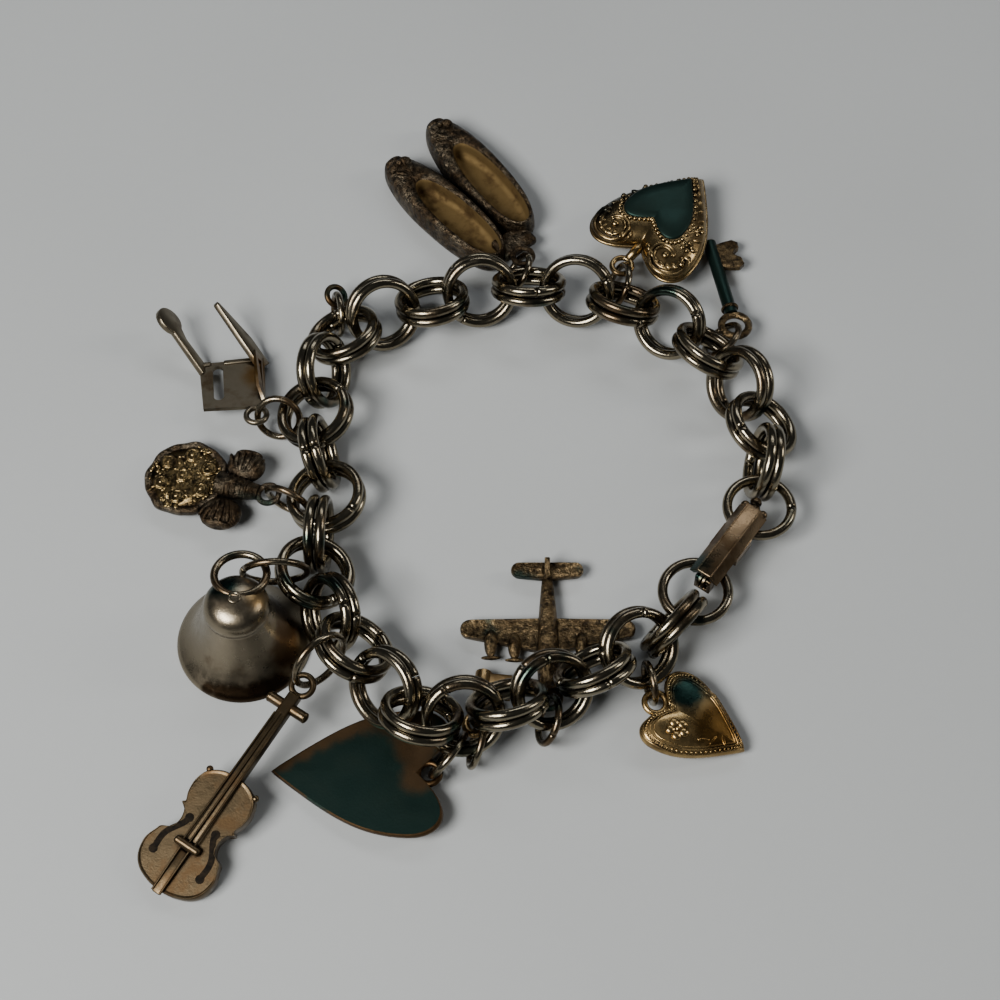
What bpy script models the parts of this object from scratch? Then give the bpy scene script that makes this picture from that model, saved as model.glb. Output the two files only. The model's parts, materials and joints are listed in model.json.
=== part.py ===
"""Charm bracelet: a closed chain of ring pairs with a fold-over clasp and a dozen small metal charms.

The bracelet lies closed on a table. +Z is up, the table is at Z = 0 and the photograph is seen from -Y.
Every length is in metres; MM turns millimetres into metres.
"""
import math

import bpy
import bmesh
from mathutils import Matrix, Vector

MM = 0.001

# Chain of ring pairs
WIRE = 1.2 * MM                 # thickness of the chain wire
LINK_OUTER = 9.15 * MM          # outer diameter of one ring
PAIR_STEP = 1.2 * MM            # distance between the two rings of a pair
LINK_SIDES = 14
LINK_HANG = 3.7 * MM            # least height of a link's centre, where its neighbours carry it
END_OUTER = 8.5 * MM            # outer diameter of the single ring at each end of the chain
END_HEIGHT = 3.5 * MM           # height of the end rings' centres

# Jump rings and the eyes that they pass through
JUMP_WIRE = 0.8 * MM
JUMP_SIDES = 12
EYE_WIRE = 0.7 * MM
EYE_OUTER = 3.1 * MM
SEAT_GAP = 0.3 * MM             # clearance between a jump ring and what hangs in it

# Clasp, along its own X from the hinge pin towards the tip
CLASP_FLOOR = 1.8 * MM          # height of the base's underside above the table
BASE_WALL = 0.6 * MM
BASE_WIDTH = 2.0 * MM
BASE_BACK = -0.35 * MM
EAR_WALL = 0.4 * MM
PIN_HEIGHT = 2.0 * MM           # above the base's underside
PIN_THICK = 0.8 * MM
PIN_GAP = 0.25 * MM
KNUCKLE_WIDTH = 0.7 * MM
HINGE_RING_SEAT = 1.95 * MM     # from the pin to the wire of the ring at the hinge
RING_GAP = 0.3 * MM             # clearance round that wire
COVER_LENGTH = 10.2 * MM
COVER_WIDTH = 4.2 * MM
COVER_TOP_WIDTH = 2.6 * MM
COVER_WALL = 0.55 * MM
COVER_DEPTH = 1.2 * MM
COVER_TOP = 3.95 * MM           # above the base's underside
COVER_BACK = -0.35 * MM
SKIRT_DROP = 1.4 * MM
KNOB_SIZE = 1.2 * MM

# Charms
HEART_PLATE = 0.8 * MM
PLAIN_HEART_LENGTH = 16.0 * MM
PLAIN_HEART_WIDTH = 14.6 * MM
BIG_HEART_LENGTH = 12.8 * MM
BIG_HEART_NECK = 2.2 * MM       # from the eye to the cleft
BIG_HEART_WIDTH = 14.2 * MM
BIG_HEART_THICK = 4.0 * MM
SMALL_HEART_LENGTH = 9.4 * MM
SMALL_HEART_WIDTH = 9.8 * MM
SMALL_HEART_THICK = 2.6 * MM
SLIPPER_LENGTH = 21.2 * MM
SLIPPER_WIDTH = 6.6 * MM
SLIPPER_HEIGHT = 3.6 * MM
SLIPPER_SPLAY = 3.5             # degrees that each shoe turns from the pair's middle
SLIPPER_SPACING = 2.75 * MM     # from the pair's middle to each heel
LEFT_SHOE_AHEAD = 1.4 * MM      # from the eye to the back of the heel
RIGHT_SHOE_AHEAD = 3.0 * MM
SHOES_SHIFT = -0.5 * MM         # of the pair's middle to the right of the eye
BIG_KEY_LENGTH = 15.5 * MM
SMALL_KEY_LENGTH = 8.5 * MM
BIG_KEY_BOW = 4.2 * MM
SMALL_KEY_BOW = 3.4 * MM
KEY_SHANK = 1.6 * MM
SMALL_KEY_SHANK = 1.9 * MM
BIG_KEY_BIT = (4.6 * MM, 3.4 * MM)      # length along the shank, reach from its axis
SMALL_KEY_BIT = (3.0 * MM, 3.2 * MM)
BELL_MOUTH = 15.0 * MM
BELL_HEIGHT = 10.8 * MM
BELL_WALL = 0.6 * MM
VIOLIN_BODY_LENGTH = 14.2 * MM
VIOLIN_BODY_WIDTH = 9.2 * MM
VIOLIN_BODY_THICK = 1.5 * MM
VIOLIN_NECK_LENGTH = 10.4 * MM
PLANE_LENGTH = 16.6 * MM
PLANE_SPAN = 19.6 * MM
PLANE_BODY = 2.5 * MM
BOUQUET_DISC = 10.0 * MM
BOUQUET_THICK = 2.2 * MM
BOW_LUMPS = (                   # back from the disc's centre, to the left, and three widths
    (6.4 * MM, -3.0 * MM, (4.6 * MM, 4.2 * MM, 2.2 * MM)),
    (5.5 * MM, 3.65 * MM, (5.0 * MM, 4.2 * MM, 2.2 * MM)),
)
CHAIR_PLATE = 0.7 * MM
CHAIR_SEAT = 8.0 * MM
CHAIR_SIDE = 7.6 * MM
CHAIR_LEG = 7.6 * MM
CHAIR_LEG_LEAN = 42.0           # degrees from upright, away from the eye
CHAIR_LEG_SPLAY = 42.0          # degrees that the legs lean to the left
CHAIR_FOOT = 2.9 * MM           # width of the round foot
BELL_BAIL = 6.6 * MM
BELL_BAIL_WIRE = 0.9 * MM
BELL_PLACE = (-28.6, -18.3)     # the bell's axis on the table, in mm
BELL_BAIL_HEADING = 83.0        # degrees; the bail leans this way from the crown
BELL_BAIL_SLOPE = 10.4
BELL_LINK, BELL_AROUND = 18, 82.8
BELL_RIM = -56.6                # where the ring hangs on the bail, degrees from its far end
BELL_TWIST = -14.8
BALL_WIDTH = 2.2 * MM

# The chain's route: the centres of the first ring, every second link and the last ring, in mm
ROUTE = [
    (29.6, -3.0), (30.4, 7.8), (24.7, 17.8), (14.9, 24.7), (3.4, 27.2), (-8.2, 25.3), (-18.6, 20.2),
    (-21.6, 9.4), (-19.8, -2.0), (-20.6, -12.0), (-15.8, -22.0), (-8.4, -30.2), (0.9, -28.8),
    (10.2, -24.6), (19.1, -18.4), (21.8, -13.8),
]

# Each link's lean in degrees (positive: outer side up) and the height of its lowest wire in mm
LINKS = [
    (76, 0.0), (-32, 0.0), (58, 0.3), (-39, 0.8), (56, 0.7), (-36, 0.8), (55, 0.4), (-36, 0.8),
    (56, 0.2), (-27, 0.3), (55, 0.3), (-26, 0.6), (66, 0.0), (-18, 0.4), (74, 0.0), (-10, 0.4),
    (88, 0.0), (20, 0.9), (119, 0.5), (36, 2.4), (126, 2.0), (36, 2.7), (130, 2.4), (42, 2.6),
    (132, 1.8), (46, 2.1), (140, 1.4), (72, 0.0),
]

# Finishes: base colour, roughness, metallic
FINISHES = {
    "chain_steel": ((0.42, 0.39, 0.33, 1.0), 0.32, 1.0),
    "clasp_bronze": ((0.40, 0.30, 0.20, 1.0), 0.35, 1.0),
    "charm_silver": ((0.33, 0.32, 0.30, 1.0), 0.30, 1.0),
    "charm_gilt": ((0.45, 0.33, 0.17, 1.0), 0.38, 1.0),
    "charm_dark": ((0.16, 0.15, 0.13, 1.0), 0.45, 1.0),
}


def clear_scene():
    """Remove what the file holds before the bracelet is made."""
    for old in list(bpy.data.objects):
        bpy.data.objects.remove(old, do_unlink=True)


def finish_material(name):
    """The material of one finish, made once."""
    found = bpy.data.materials.get(name)
    if found:
        return found
    colour, roughness, metallic = FINISHES[name]
    made = bpy.data.materials.new(name)
    made.use_nodes = True
    shader = made.node_tree.nodes["Principled BSDF"]
    shader.inputs["Base Color"].default_value = colour
    shader.inputs["Roughness"].default_value = roughness
    shader.inputs["Metallic"].default_value = metallic
    return made


def add_object(name, bm, finish, matrix, parent):
    """Turn a bmesh into a placed, smooth-shaded object with its finish."""
    mesh = bpy.data.meshes.new(name)
    bmesh.ops.recalc_face_normals(bm, faces=bm.faces)
    bm.to_mesh(mesh)
    bm.free()
    mesh.shade_smooth()
    mesh.set_sharp_from_angle(angle=math.radians(50.0))
    mesh.materials.append(finish_material(finish))
    made = bpy.data.objects.new(name, mesh)
    bpy.context.scene.collection.objects.link(made)
    made.parent = parent
    made.location = matrix.to_translation()
    made.rotation_euler = matrix.to_euler()
    return made


def frame_matrix(origin, along, across):
    """A placement whose X runs along, whose Y lies nearest to across, at origin."""
    x_axis = Vector(along).normalized()
    z_axis = x_axis.cross(Vector(across)).normalized()
    y_axis = z_axis.cross(x_axis)
    turn = Matrix((x_axis, y_axis, z_axis)).transposed()
    return Matrix.Translation(origin) @ turn.to_4x4()


def heading(angle, slope=0.0):
    """A unit vector at an angle in the table's plane, going down by slope; both in degrees."""
    turn = math.radians(angle)
    fall = math.radians(slope)
    flat = math.cos(fall)
    return Vector((flat * math.cos(turn), flat * math.sin(turn), -math.sin(fall)))


def wire_section(thick, sides=5):
    """The corners of a round wire's section, as (outward, sideways)."""
    angles = [2 * math.pi * (step + 0.5) / sides for step in range(sides)]
    return [(thick / 2 * math.cos(angle), thick / 2 * math.sin(angle)) for angle in angles]


def pair_section(thick, step):
    """The corners of two round wires side by side, grown together where they touch."""
    radius = thick / 2
    notch = 0.45 * radius
    right = [(radius * math.sin(math.radians(angle)), step / 2 + radius * math.cos(math.radians(angle)))
             for angle in (-65, 0, 65)]
    left = [(outward, -sideways) for outward, sideways in reversed(right)]
    return right + [(notch, 0.0)] + left + [(-notch, 0.0)]


def turned(profile, sides, closed=True):
    """Spin a profile of (radius, height) corners about Z."""
    bm = bmesh.new()
    corners = [bm.verts.new((radius, 0.0, height)) for radius, height in profile]
    edges = [bm.edges.new(pair) for pair in zip(corners, corners[1:])]
    if closed:
        edges.append(bm.edges.new((corners[-1], corners[0])))
    bmesh.ops.spin(bm, geom=corners + edges, cent=(0, 0, 0), axis=(0, 0, 1), dvec=(0, 0, 0),
                   angle=2 * math.pi, steps=sides, use_merge=True)
    bmesh.ops.remove_doubles(bm, verts=bm.verts, dist=0.002 * MM)
    loose = [edge for edge in bm.edges if not edge.link_faces]
    bmesh.ops.delete(bm, geom=loose, context="EDGES")
    bmesh.ops.recalc_face_normals(bm, faces=bm.faces)
    return bm


def wire_ring(outer, thick, sides, wire_sides=5):
    """A round ring of wire in the XY plane."""
    centre_line = (outer - thick) / 2
    section = wire_section(thick, wire_sides)
    return turned([(centre_line + outward, sideways) for outward, sideways in section], sides)


def lofted(rings):
    """A closed solid through rings of the same number of corners, with flat ends."""
    bm = bmesh.new()
    rows = [[bm.verts.new(corner) for corner in ring] for ring in rings]
    for lower, upper in zip(rows, rows[1:]):
        for index, corner in enumerate(lower):
            after = (index + 1) % len(lower)
            bm.faces.new((corner, lower[after], upper[after], upper[index]))
    bm.faces.new(list(reversed(rows[0])))
    bm.faces.new(rows[-1])
    bmesh.ops.recalc_face_normals(bm, faces=bm.faces)
    return bm


def plate(outline, low, high):
    """A flat plate of an outline between two heights."""
    return lofted([[(x, y, height) for x, y in outline] for height in (low, high)])


def block(low, high):
    """A box between two corners."""
    bm = bmesh.new()
    size = Vector(high) - Vector(low)
    middle = (Vector(high) + Vector(low)) / 2
    bmesh.ops.create_cube(bm, size=1.0, matrix=Matrix.Translation(middle) @ Matrix.Diagonal(size).to_4x4())
    return bm


def rod(start, end, radius, sides=8, end_radius=None):
    """A round bar from start to end."""
    bm = bmesh.new()
    start, end = Vector(start), Vector(end)
    span = end - start
    turn = span.to_track_quat("Z", "Y").to_matrix().to_4x4()
    bmesh.ops.create_cone(bm, cap_ends=True, segments=sides, radius1=radius,
                          radius2=radius if end_radius is None else end_radius, depth=span.length,
                          matrix=Matrix.Translation((start + end) / 2) @ turn)
    return bm


def ball(centre, size, columns=8, rows=6):
    """A round boss whose three widths are size."""
    bm = bmesh.new()
    spread = Matrix.Diagonal(Vector(size)).to_4x4()
    bmesh.ops.create_uvsphere(bm, u_segments=columns, v_segments=rows, radius=0.5,
                              matrix=Matrix.Translation(centre) @ spread)
    return bm


def moved(bm, matrix):
    """The same bmesh after a placement."""
    bmesh.ops.transform(bm, matrix=matrix, verts=bm.verts)
    return bm


def combined(base, others, operation="UNION"):
    """Join or cut closed solids one after another and return the one solid that results."""
    for tool in others:
        made = []
        for index, bm in enumerate((base, tool)):
            mesh = bpy.data.meshes.new(f"piece_{index}")
            bmesh.ops.recalc_face_normals(bm, faces=bm.faces)
            bm.to_mesh(mesh)
            bm.free()
            piece = bpy.data.objects.new(f"piece_{index}", mesh)
            bpy.context.scene.collection.objects.link(piece)
            made.append(piece)
        modifier = made[0].modifiers.new("join", "BOOLEAN")
        modifier.operation = operation
        modifier.object = made[1]
        seen = made[0].evaluated_get(bpy.context.evaluated_depsgraph_get())
        result = bpy.data.meshes.new_from_object(seen)
        base = bmesh.new()
        base.from_mesh(result)
        bpy.data.meshes.remove(result)
        for piece in made:
            mesh = piece.data
            bpy.data.objects.remove(piece, do_unlink=True)
            bpy.data.meshes.remove(mesh)
    return base


def curve_point(before, start, end, after, share):
    """A point on the smooth curve between start and end."""
    square, cube = share ** 2, share ** 3
    return (start * 2 + (end - before) * share + (before * 2 - start * 5 + end * 4 - after) * square
            + (start * 3 - before - end * 3 + after) * cube) / 2


def route_centres():
    """The centre of every ring and link in the table's plane, first ring to last ring."""
    points = [Vector(point) * MM for point in ROUTE]
    points = [points[0] * 2 - points[1]] + points + [points[-1] * 2 - points[-2]]
    centres = []
    for index in range(1, len(ROUTE)):
        centres.append(points[index])
        if index < len(ROUTE) - 1:
            centres.append(curve_point(*points[index - 1:index + 3], 0.5))
    return centres + [points[-2]]


class Link:
    """Where one ring or pair of rings of the chain lies."""

    def __init__(self, centre, along, lean, height, outer):
        side = Vector((along.y, -along.x, 0.0))
        turn = math.radians(lean)
        self.along = along
        self.across = side * math.cos(turn) + Vector((0.0, 0.0, math.sin(turn)))
        self.centre = Vector((centre.x, centre.y, height))
        self.reach = (outer - WIRE) / 2

    def matrix(self):
        return frame_matrix(self.centre, self.along, self.across)

    def point(self, around):
        """A point on the wire's centre line, around degrees from the chain's direction."""
        turn = math.radians(around)
        return self.centre + (self.along * math.cos(turn) + self.across * math.sin(turn)) * self.reach

    def run(self, around):
        """The wire's direction at that point."""
        turn = math.radians(around)
        return self.across * math.cos(turn) - self.along * math.sin(turn)


def link_height(lean, raised):
    """The height of a link's centre that puts its lowest wire at the raised height."""
    turn = math.radians(lean)
    reach = (LINK_OUTER - WIRE) / 2
    lowest = reach * abs(math.sin(turn)) + PAIR_STEP / 2 * abs(math.cos(turn)) + WIRE / 2
    return max(LINK_HANG, lowest) + raised


def chain_links():
    """Every link of the chain, with the two single end rings first and last."""
    centres = route_centres()
    links = []
    for index, centre in enumerate(centres):
        before = centres[max(index - 1, 0)]
        after = centres[min(index + 1, len(centres) - 1)]
        along = (after - before).normalized().to_3d()
        if index in (0, len(centres) - 1):
            links.append(Link(centre, along, 0.0, END_HEIGHT, END_OUTER))
        else:
            lean, raised = LINKS[index - 1]
            links.append(Link(centre, along, lean, link_height(lean, raised * MM), LINK_OUTER))
    return links


def build_chain(links, parent):
    """The end rings and the ring pairs between them."""
    centre_line = (LINK_OUTER - WIRE) / 2
    section = pair_section(WIRE, PAIR_STEP)
    for index, link in enumerate(links):
        if index in (0, len(links) - 1):
            name = "end_ring_clasp_side" if index == 0 else "end_ring_hinge_side"
            bm = wire_ring(END_OUTER, WIRE, LINK_SIDES, 6)
        else:
            name = f"link_{index:02d}"
            bm = turned([(centre_line + outward, sideways) for outward, sideways in section], LINK_SIDES)
        add_object(name, bm, "chain_steel", link.matrix(), parent)


def clasp_matrix(links):
    """The clasp's frame: X from the hinge ring to the clasp ring, Z up, origin under the pin."""
    hinge_ring, clasp_ring = links[-1], links[0]
    along = clasp_ring.centre - hinge_ring.centre
    along.z = 0.0
    pin = hinge_ring.centre + along.normalized() * (hinge_ring.reach - HINGE_RING_SEAT)
    pin.z = CLASP_FLOOR
    return frame_matrix(pin, along, Vector((-along.y, along.x, 0.0)))


def build_clasp(links, parent):
    """The clasp's base with its pin, and the cover that swings on it."""
    matrix = clasp_matrix(links)
    half_wire = WIRE / 2
    wire_height = END_HEIGHT - CLASP_FLOOR
    hinge_seat, half_base = HINGE_RING_SEAT, BASE_WIDTH / 2
    spread = (links[0].centre - links[-1].centre).length - links[0].reach - links[-1].reach
    grip = hinge_seat + spread
    seat_back, seat_front = hinge_seat - half_wire - RING_GAP, hinge_seat + half_wire + RING_GAP
    strap_low = wire_height + half_wire + RING_GAP
    strap_high = COVER_TOP - COVER_WALL - RING_GAP
    hook = grip + half_wire + RING_GAP
    ear_in = half_base - EAR_WALL

    solids = [block((BASE_BACK, -half_base, 0), (hook + EAR_WALL, half_base, BASE_WALL))]
    for side in (-1, 1):
        near, far = sorted((side * ear_in, side * half_base))
        solids.append(block((BASE_BACK, near, BASE_WALL / 2),
                            (seat_back, far, PIN_HEIGHT + PIN_THICK / 2 + 0.1 * MM)))
        solids.append(block((seat_back - EAR_WALL, near, strap_low - EAR_WALL), (seat_back, far, strap_high)))
        solids.append(block((seat_back - EAR_WALL / 2, near, strap_low), (seat_front + EAR_WALL, far, strap_high)))
    solids.append(block((seat_front, -half_base, BASE_WALL / 2), (seat_front + EAR_WALL, half_base, strap_high)))
    solids.append(block((hook, -half_base * 0.7, BASE_WALL / 2),
                        (hook + EAR_WALL, half_base * 0.7, strap_low + RING_GAP / 2)))
    solids.append(rod((0, -half_base + EAR_WALL / 2, PIN_HEIGHT), (0, half_base - EAR_WALL / 2, PIN_HEIGHT),
                      PIN_THICK / 2))
    base = combined(solids[0], solids[1:])
    add_object("clasp_base", base, "clasp_bronze", matrix, parent)

    cover_matrix = matrix @ Matrix.Translation((0.0, 0.0, PIN_HEIGHT))
    top = COVER_TOP - PIN_HEIGHT
    half_top, half_width = COVER_TOP_WIDTH / 2, COVER_WIDTH / 2
    low = top - COVER_DEPTH
    section = [(-half_width, low), (-half_top, top), (half_top, top), (half_width, low),
               (half_width - COVER_WALL * 1.3, low), (half_top - COVER_WALL * 0.4, top - COVER_WALL),
               (-half_top + COVER_WALL * 0.4, top - COVER_WALL), (-half_width + COVER_WALL * 1.3, low)]
    cover = [lofted([[(x, y, z) for y, z in section] for x in (COVER_BACK, COVER_LENGTH)])]
    for side in (-1, 1):
        near, far = sorted((side * (half_width - COVER_WALL), side * half_width))
        cover.append(block((seat_front + RING_GAP * 3, near + side * 0.02 * MM, low - SKIRT_DROP),
                           (grip - half_wire - RING_GAP, far - side * 0.02 * MM, low + 0.15 * MM)))
    half_knuckle = KNUCKLE_WIDTH / 2
    hole = PIN_THICK / 2 + PIN_GAP
    cover.append(rod((0, -half_knuckle, 0), (0, half_knuckle, 0), hole + 0.4 * MM, 12))
    cover.append(block((COVER_BACK + 0.02 * MM, -half_knuckle * 0.98, hole + 0.1 * MM),
                       (-COVER_BACK, half_knuckle * 0.98, top - COVER_WALL / 2)))
    cover.append(ball((COVER_LENGTH, 0, top - COVER_WALL), (KNOB_SIZE, KNOB_SIZE, KNOB_SIZE * 0.7)))
    for side in (-1, 1):
        cover.append(ball((COVER_LENGTH, side * half_top, top - COVER_WALL * 1.2),
                          (KNOB_SIZE * 0.6, KNOB_SIZE * 0.7, KNOB_SIZE * 0.6), 6, 4))
    shell = combined(cover[0], cover[1:])
    shell = combined(shell, [rod((0, -half_knuckle * 2, 0), (0, half_knuckle * 2, 0), hole, 12)], "DIFFERENCE")
    add_object("clasp_cover", shell, "clasp_bronze", cover_matrix, parent)


def charm_eye(thick=EYE_WIRE):
    """The small flat ring that a charm hangs by, centred on the origin."""
    return wire_ring(EYE_OUTER, thick, 12)


def heart_outline(length, width, start, corners=26):
    """A heart with its cleft at start and its tip along +X; the lobes reach back past the cleft."""
    outline = []
    for step in range(corners):
        turn = 2 * math.pi * step / corners
        rise = 13 * math.cos(turn) - 5 * math.cos(2 * turn) - 2 * math.cos(3 * turn) - math.cos(4 * turn)
        reach = (5 - rise) / 22
        if reach < 0:
            reach *= 0.6
        side = math.copysign(abs(math.sin(turn)) ** 1.8, math.sin(turn))
        outline.append((start + length * reach, width / 2 * side))
    return outline


def shrunk(outline, centre, share):
    """An outline drawn in towards a centre on the X axis."""
    return [(centre + (x - centre) * share, y * share) for x, y in outline]


def puffed_heart(length, width, thick, start):
    """A heart with a rim at half its thickness and both faces puffed out."""
    outline = heart_outline(length, width, start)
    centre = start + length * 0.36
    rows = [(0.42, -0.5), (0.80, -0.36), (0.97, -0.12), (1.0, 0.0), (0.97, 0.12), (0.80, 0.36), (0.42, 0.5)]
    return lofted([[(x, y, thick * height) for x, y in shrunk(outline, centre, share)] for share, height in rows])


def plain_heart():
    """A flat heart cut from sheet."""
    start = EYE_OUTER / 2 - EYE_WIRE / 2
    outline = heart_outline(PLAIN_HEART_LENGTH, PLAIN_HEART_WIDTH, start)
    heart = plate(outline, -HEART_PLATE / 2, HEART_PLATE / 2)
    return combined(heart, [charm_eye()])


def big_heart():
    """A puffed heart with a smooth raised heart in its middle and a border of round bosses."""
    start = EYE_OUTER / 2 + BIG_HEART_NECK
    heart = puffed_heart(BIG_HEART_LENGTH, BIG_HEART_WIDTH, BIG_HEART_THICK, start)
    centre = start + BIG_HEART_LENGTH * 0.36
    outline = heart_outline(BIG_HEART_LENGTH, BIG_HEART_WIDTH, start, 20)
    solids = [plate(shrunk(outline, centre, 0.47), BIG_HEART_THICK * 0.27, BIG_HEART_THICK / 2 + 0.3 * MM)]
    rim = shrunk(outline, centre, 0.73)
    for x, y in rim[2:9:2] + rim[12:19:2]:
        solids.append(ball((x, y, BIG_HEART_THICK * 0.35), (1.83 * MM, 1.83 * MM, 1.07 * MM), 7, 5))
    neck = rod((EYE_OUTER / 2 - EYE_WIRE / 2, 0, 0), (start + 1.0 * MM, 0, 0), EYE_WIRE, 8)
    return combined(heart, solids + [neck, charm_eye()])


def small_heart():
    """A puffed heart with a small flower boss on one lobe."""
    start = EYE_OUTER / 2
    heart = puffed_heart(SMALL_HEART_LENGTH, SMALL_HEART_WIDTH, SMALL_HEART_THICK, start)
    petals = []
    for step in range(5):
        turn = 2 * math.pi * step / 5
        spot = (start + SMALL_HEART_LENGTH * 0.22 + 0.8 * MM * math.cos(turn),
                -SMALL_HEART_WIDTH * 0.2 + 0.8 * MM * math.sin(turn), SMALL_HEART_THICK * 0.44)
        petals.append(ball(spot, (1.0 * MM, 1.0 * MM, 0.7 * MM), 6, 4))
    neck = rod((EYE_OUTER / 2 - EYE_WIRE / 2, 0, 0), (start + 1.0 * MM, 0, 0), EYE_WIRE, 8)
    return combined(heart, petals + [neck, charm_eye()])


def slipper():
    """One ballet shoe, heel at the origin and toe along +X, hollow between its sides."""
    rows = [  # length share, width share, shift towards the heel, height share
        (0.92, 0.80, 0.00, 0.00), (1.00, 1.00, 0.00, 0.25), (0.99, 0.98, 0.00, 0.60), (0.95, 0.86, 0.00, 0.88),
        (0.64, 0.62, 0.13, 1.00), (0.58, 0.50, 0.13, 0.92), (0.54, 0.46, 0.13, 0.35),
    ]
    corners = 16
    rings = []
    for length, width, shift, height in rows:
        ring = []
        for step in range(corners):
            turn = 2 * math.pi * step / corners
            along, side = math.cos(turn), math.sin(turn)
            along = math.copysign(abs(along) ** 0.85, along)
            side = math.copysign(abs(side) ** 0.8, side) * (1.0 + 0.08 * along)
            ring.append((SLIPPER_LENGTH * (0.5 + 0.5 * along * length - shift),
                         SLIPPER_WIDTH / 2 * side * width, SLIPPER_HEIGHT * height))
        rings.append(ring)
    return lofted(rings)


def slippers(height):
    """Two shoes side by side on the table, joined at their heels to one eye at this height."""
    half = SLIPPER_WIDTH / 2
    bridge_low, bridge_high = -1.43 * MM, -0.13 * MM
    solids = [block((1.13 * MM, -half, bridge_low), (4.41 * MM, half * 0.52, bridge_high))]
    for side, ahead in ((1, LEFT_SHOE_AHEAD), (-1, RIGHT_SHOE_AHEAD)):
        spot = Matrix.Translation((ahead, side * SLIPPER_SPACING + SHOES_SHIFT, -height))
        place = spot @ Matrix.Rotation(math.radians(side * SLIPPER_SPLAY), 4, "Z")
        solids.append(moved(slipper(), place))
        bow = ball((SLIPPER_LENGTH * 0.93, 0.03 * MM, SLIPPER_HEIGHT * 0.83), (2.8 * MM, 3.0 * MM, 1.4 * MM), 7, 5)
        solids.append(moved(bow, place))
    return combined(charm_eye(), solids)


def big_key():
    """The large key."""
    return key(BIG_KEY_LENGTH, KEY_SHANK, BIG_KEY_BOW, *BIG_KEY_BIT)


def small_key():
    """The small key, with the thicker shank."""
    return key(SMALL_KEY_LENGTH, SMALL_KEY_SHANK, SMALL_KEY_BOW, *SMALL_KEY_BIT)


def key(length, shank, bow, bit_length, bit_reach):
    """A key with a ring bow round its eye, a round shank and a notched bit at the right of its far end."""
    end = length - bow / 2
    solids = [rod((bow / 2 - 0.3 * MM, 0, 0), (end, 0, 0), shank / 2)]
    tooth = bit_length / 3
    bit = block((end - bit_length, -bit_reach, -shank * 0.3), (end - 0.2 * MM, 0, shank * 0.3))
    notch = block((end - 2 * tooth, -bit_reach * 1.5, -shank), (end - tooth, -bit_reach * 0.6, shank))
    solids.append(combined(bit, [notch], "DIFFERENCE"))
    return combined(wire_ring(bow, EYE_WIRE * 1.3, 12), solids)


def violin():
    """A violin with a flat back, its scroll towards the eye."""
    outline = [  # share of the body's length from its neck end, share of its half width
        (0.00, 0.16), (0.04, 0.52), (0.12, 0.76), (0.24, 0.82), (0.34, 0.74), (0.40, 0.62), (0.50, 0.58),
        (0.58, 0.68), (0.64, 0.92), (0.76, 1.00), (0.90, 0.84), (0.98, 0.46), (1.00, 0.10),
    ]
    start = EYE_OUTER / 2 + VIOLIN_NECK_LENGTH
    half = [(start + VIOLIN_BODY_LENGTH * along, VIOLIN_BODY_WIDTH / 2 * side) for along, side in outline]
    whole = half + [(x, -y) for x, y in reversed(half)]
    back = -VIOLIN_BODY_THICK * 0.6
    body = plate(whole, back, back + VIOLIN_BODY_THICK)
    top = back + VIOLIN_BODY_THICK
    neck_start = EYE_OUTER / 2 - EYE_WIRE / 2
    bridge = start + VIOLIN_BODY_LENGTH * 0.62
    tail = start + VIOLIN_BODY_LENGTH
    solids = [
        block((neck_start, -0.7 * MM, back + 0.3 * MM), (start + 1.0 * MM, 0.7 * MM, top + 0.2 * MM)),
        block((neck_start + 1.0 * MM, -2.2 * MM, back + 0.5 * MM),
              (neck_start + 2.2 * MM, 2.2 * MM, top + 0.4 * MM)),
        block((start - 1.0 * MM, -0.6 * MM, top - 0.2 * MM), (bridge + 0.3 * MM, 0.6 * MM, top + 0.45 * MM)),
        block((bridge - 0.5 * MM, -1.8 * MM, top - 0.2 * MM), (bridge + 0.6 * MM, 1.8 * MM, top + 0.8 * MM)),
        block((bridge + 0.2 * MM, -0.8 * MM, top - 0.2 * MM), (tail + 0.5 * MM, 0.8 * MM, top + 0.35 * MM)),
    ]
    return combined(body, solids + [charm_eye()])


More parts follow.
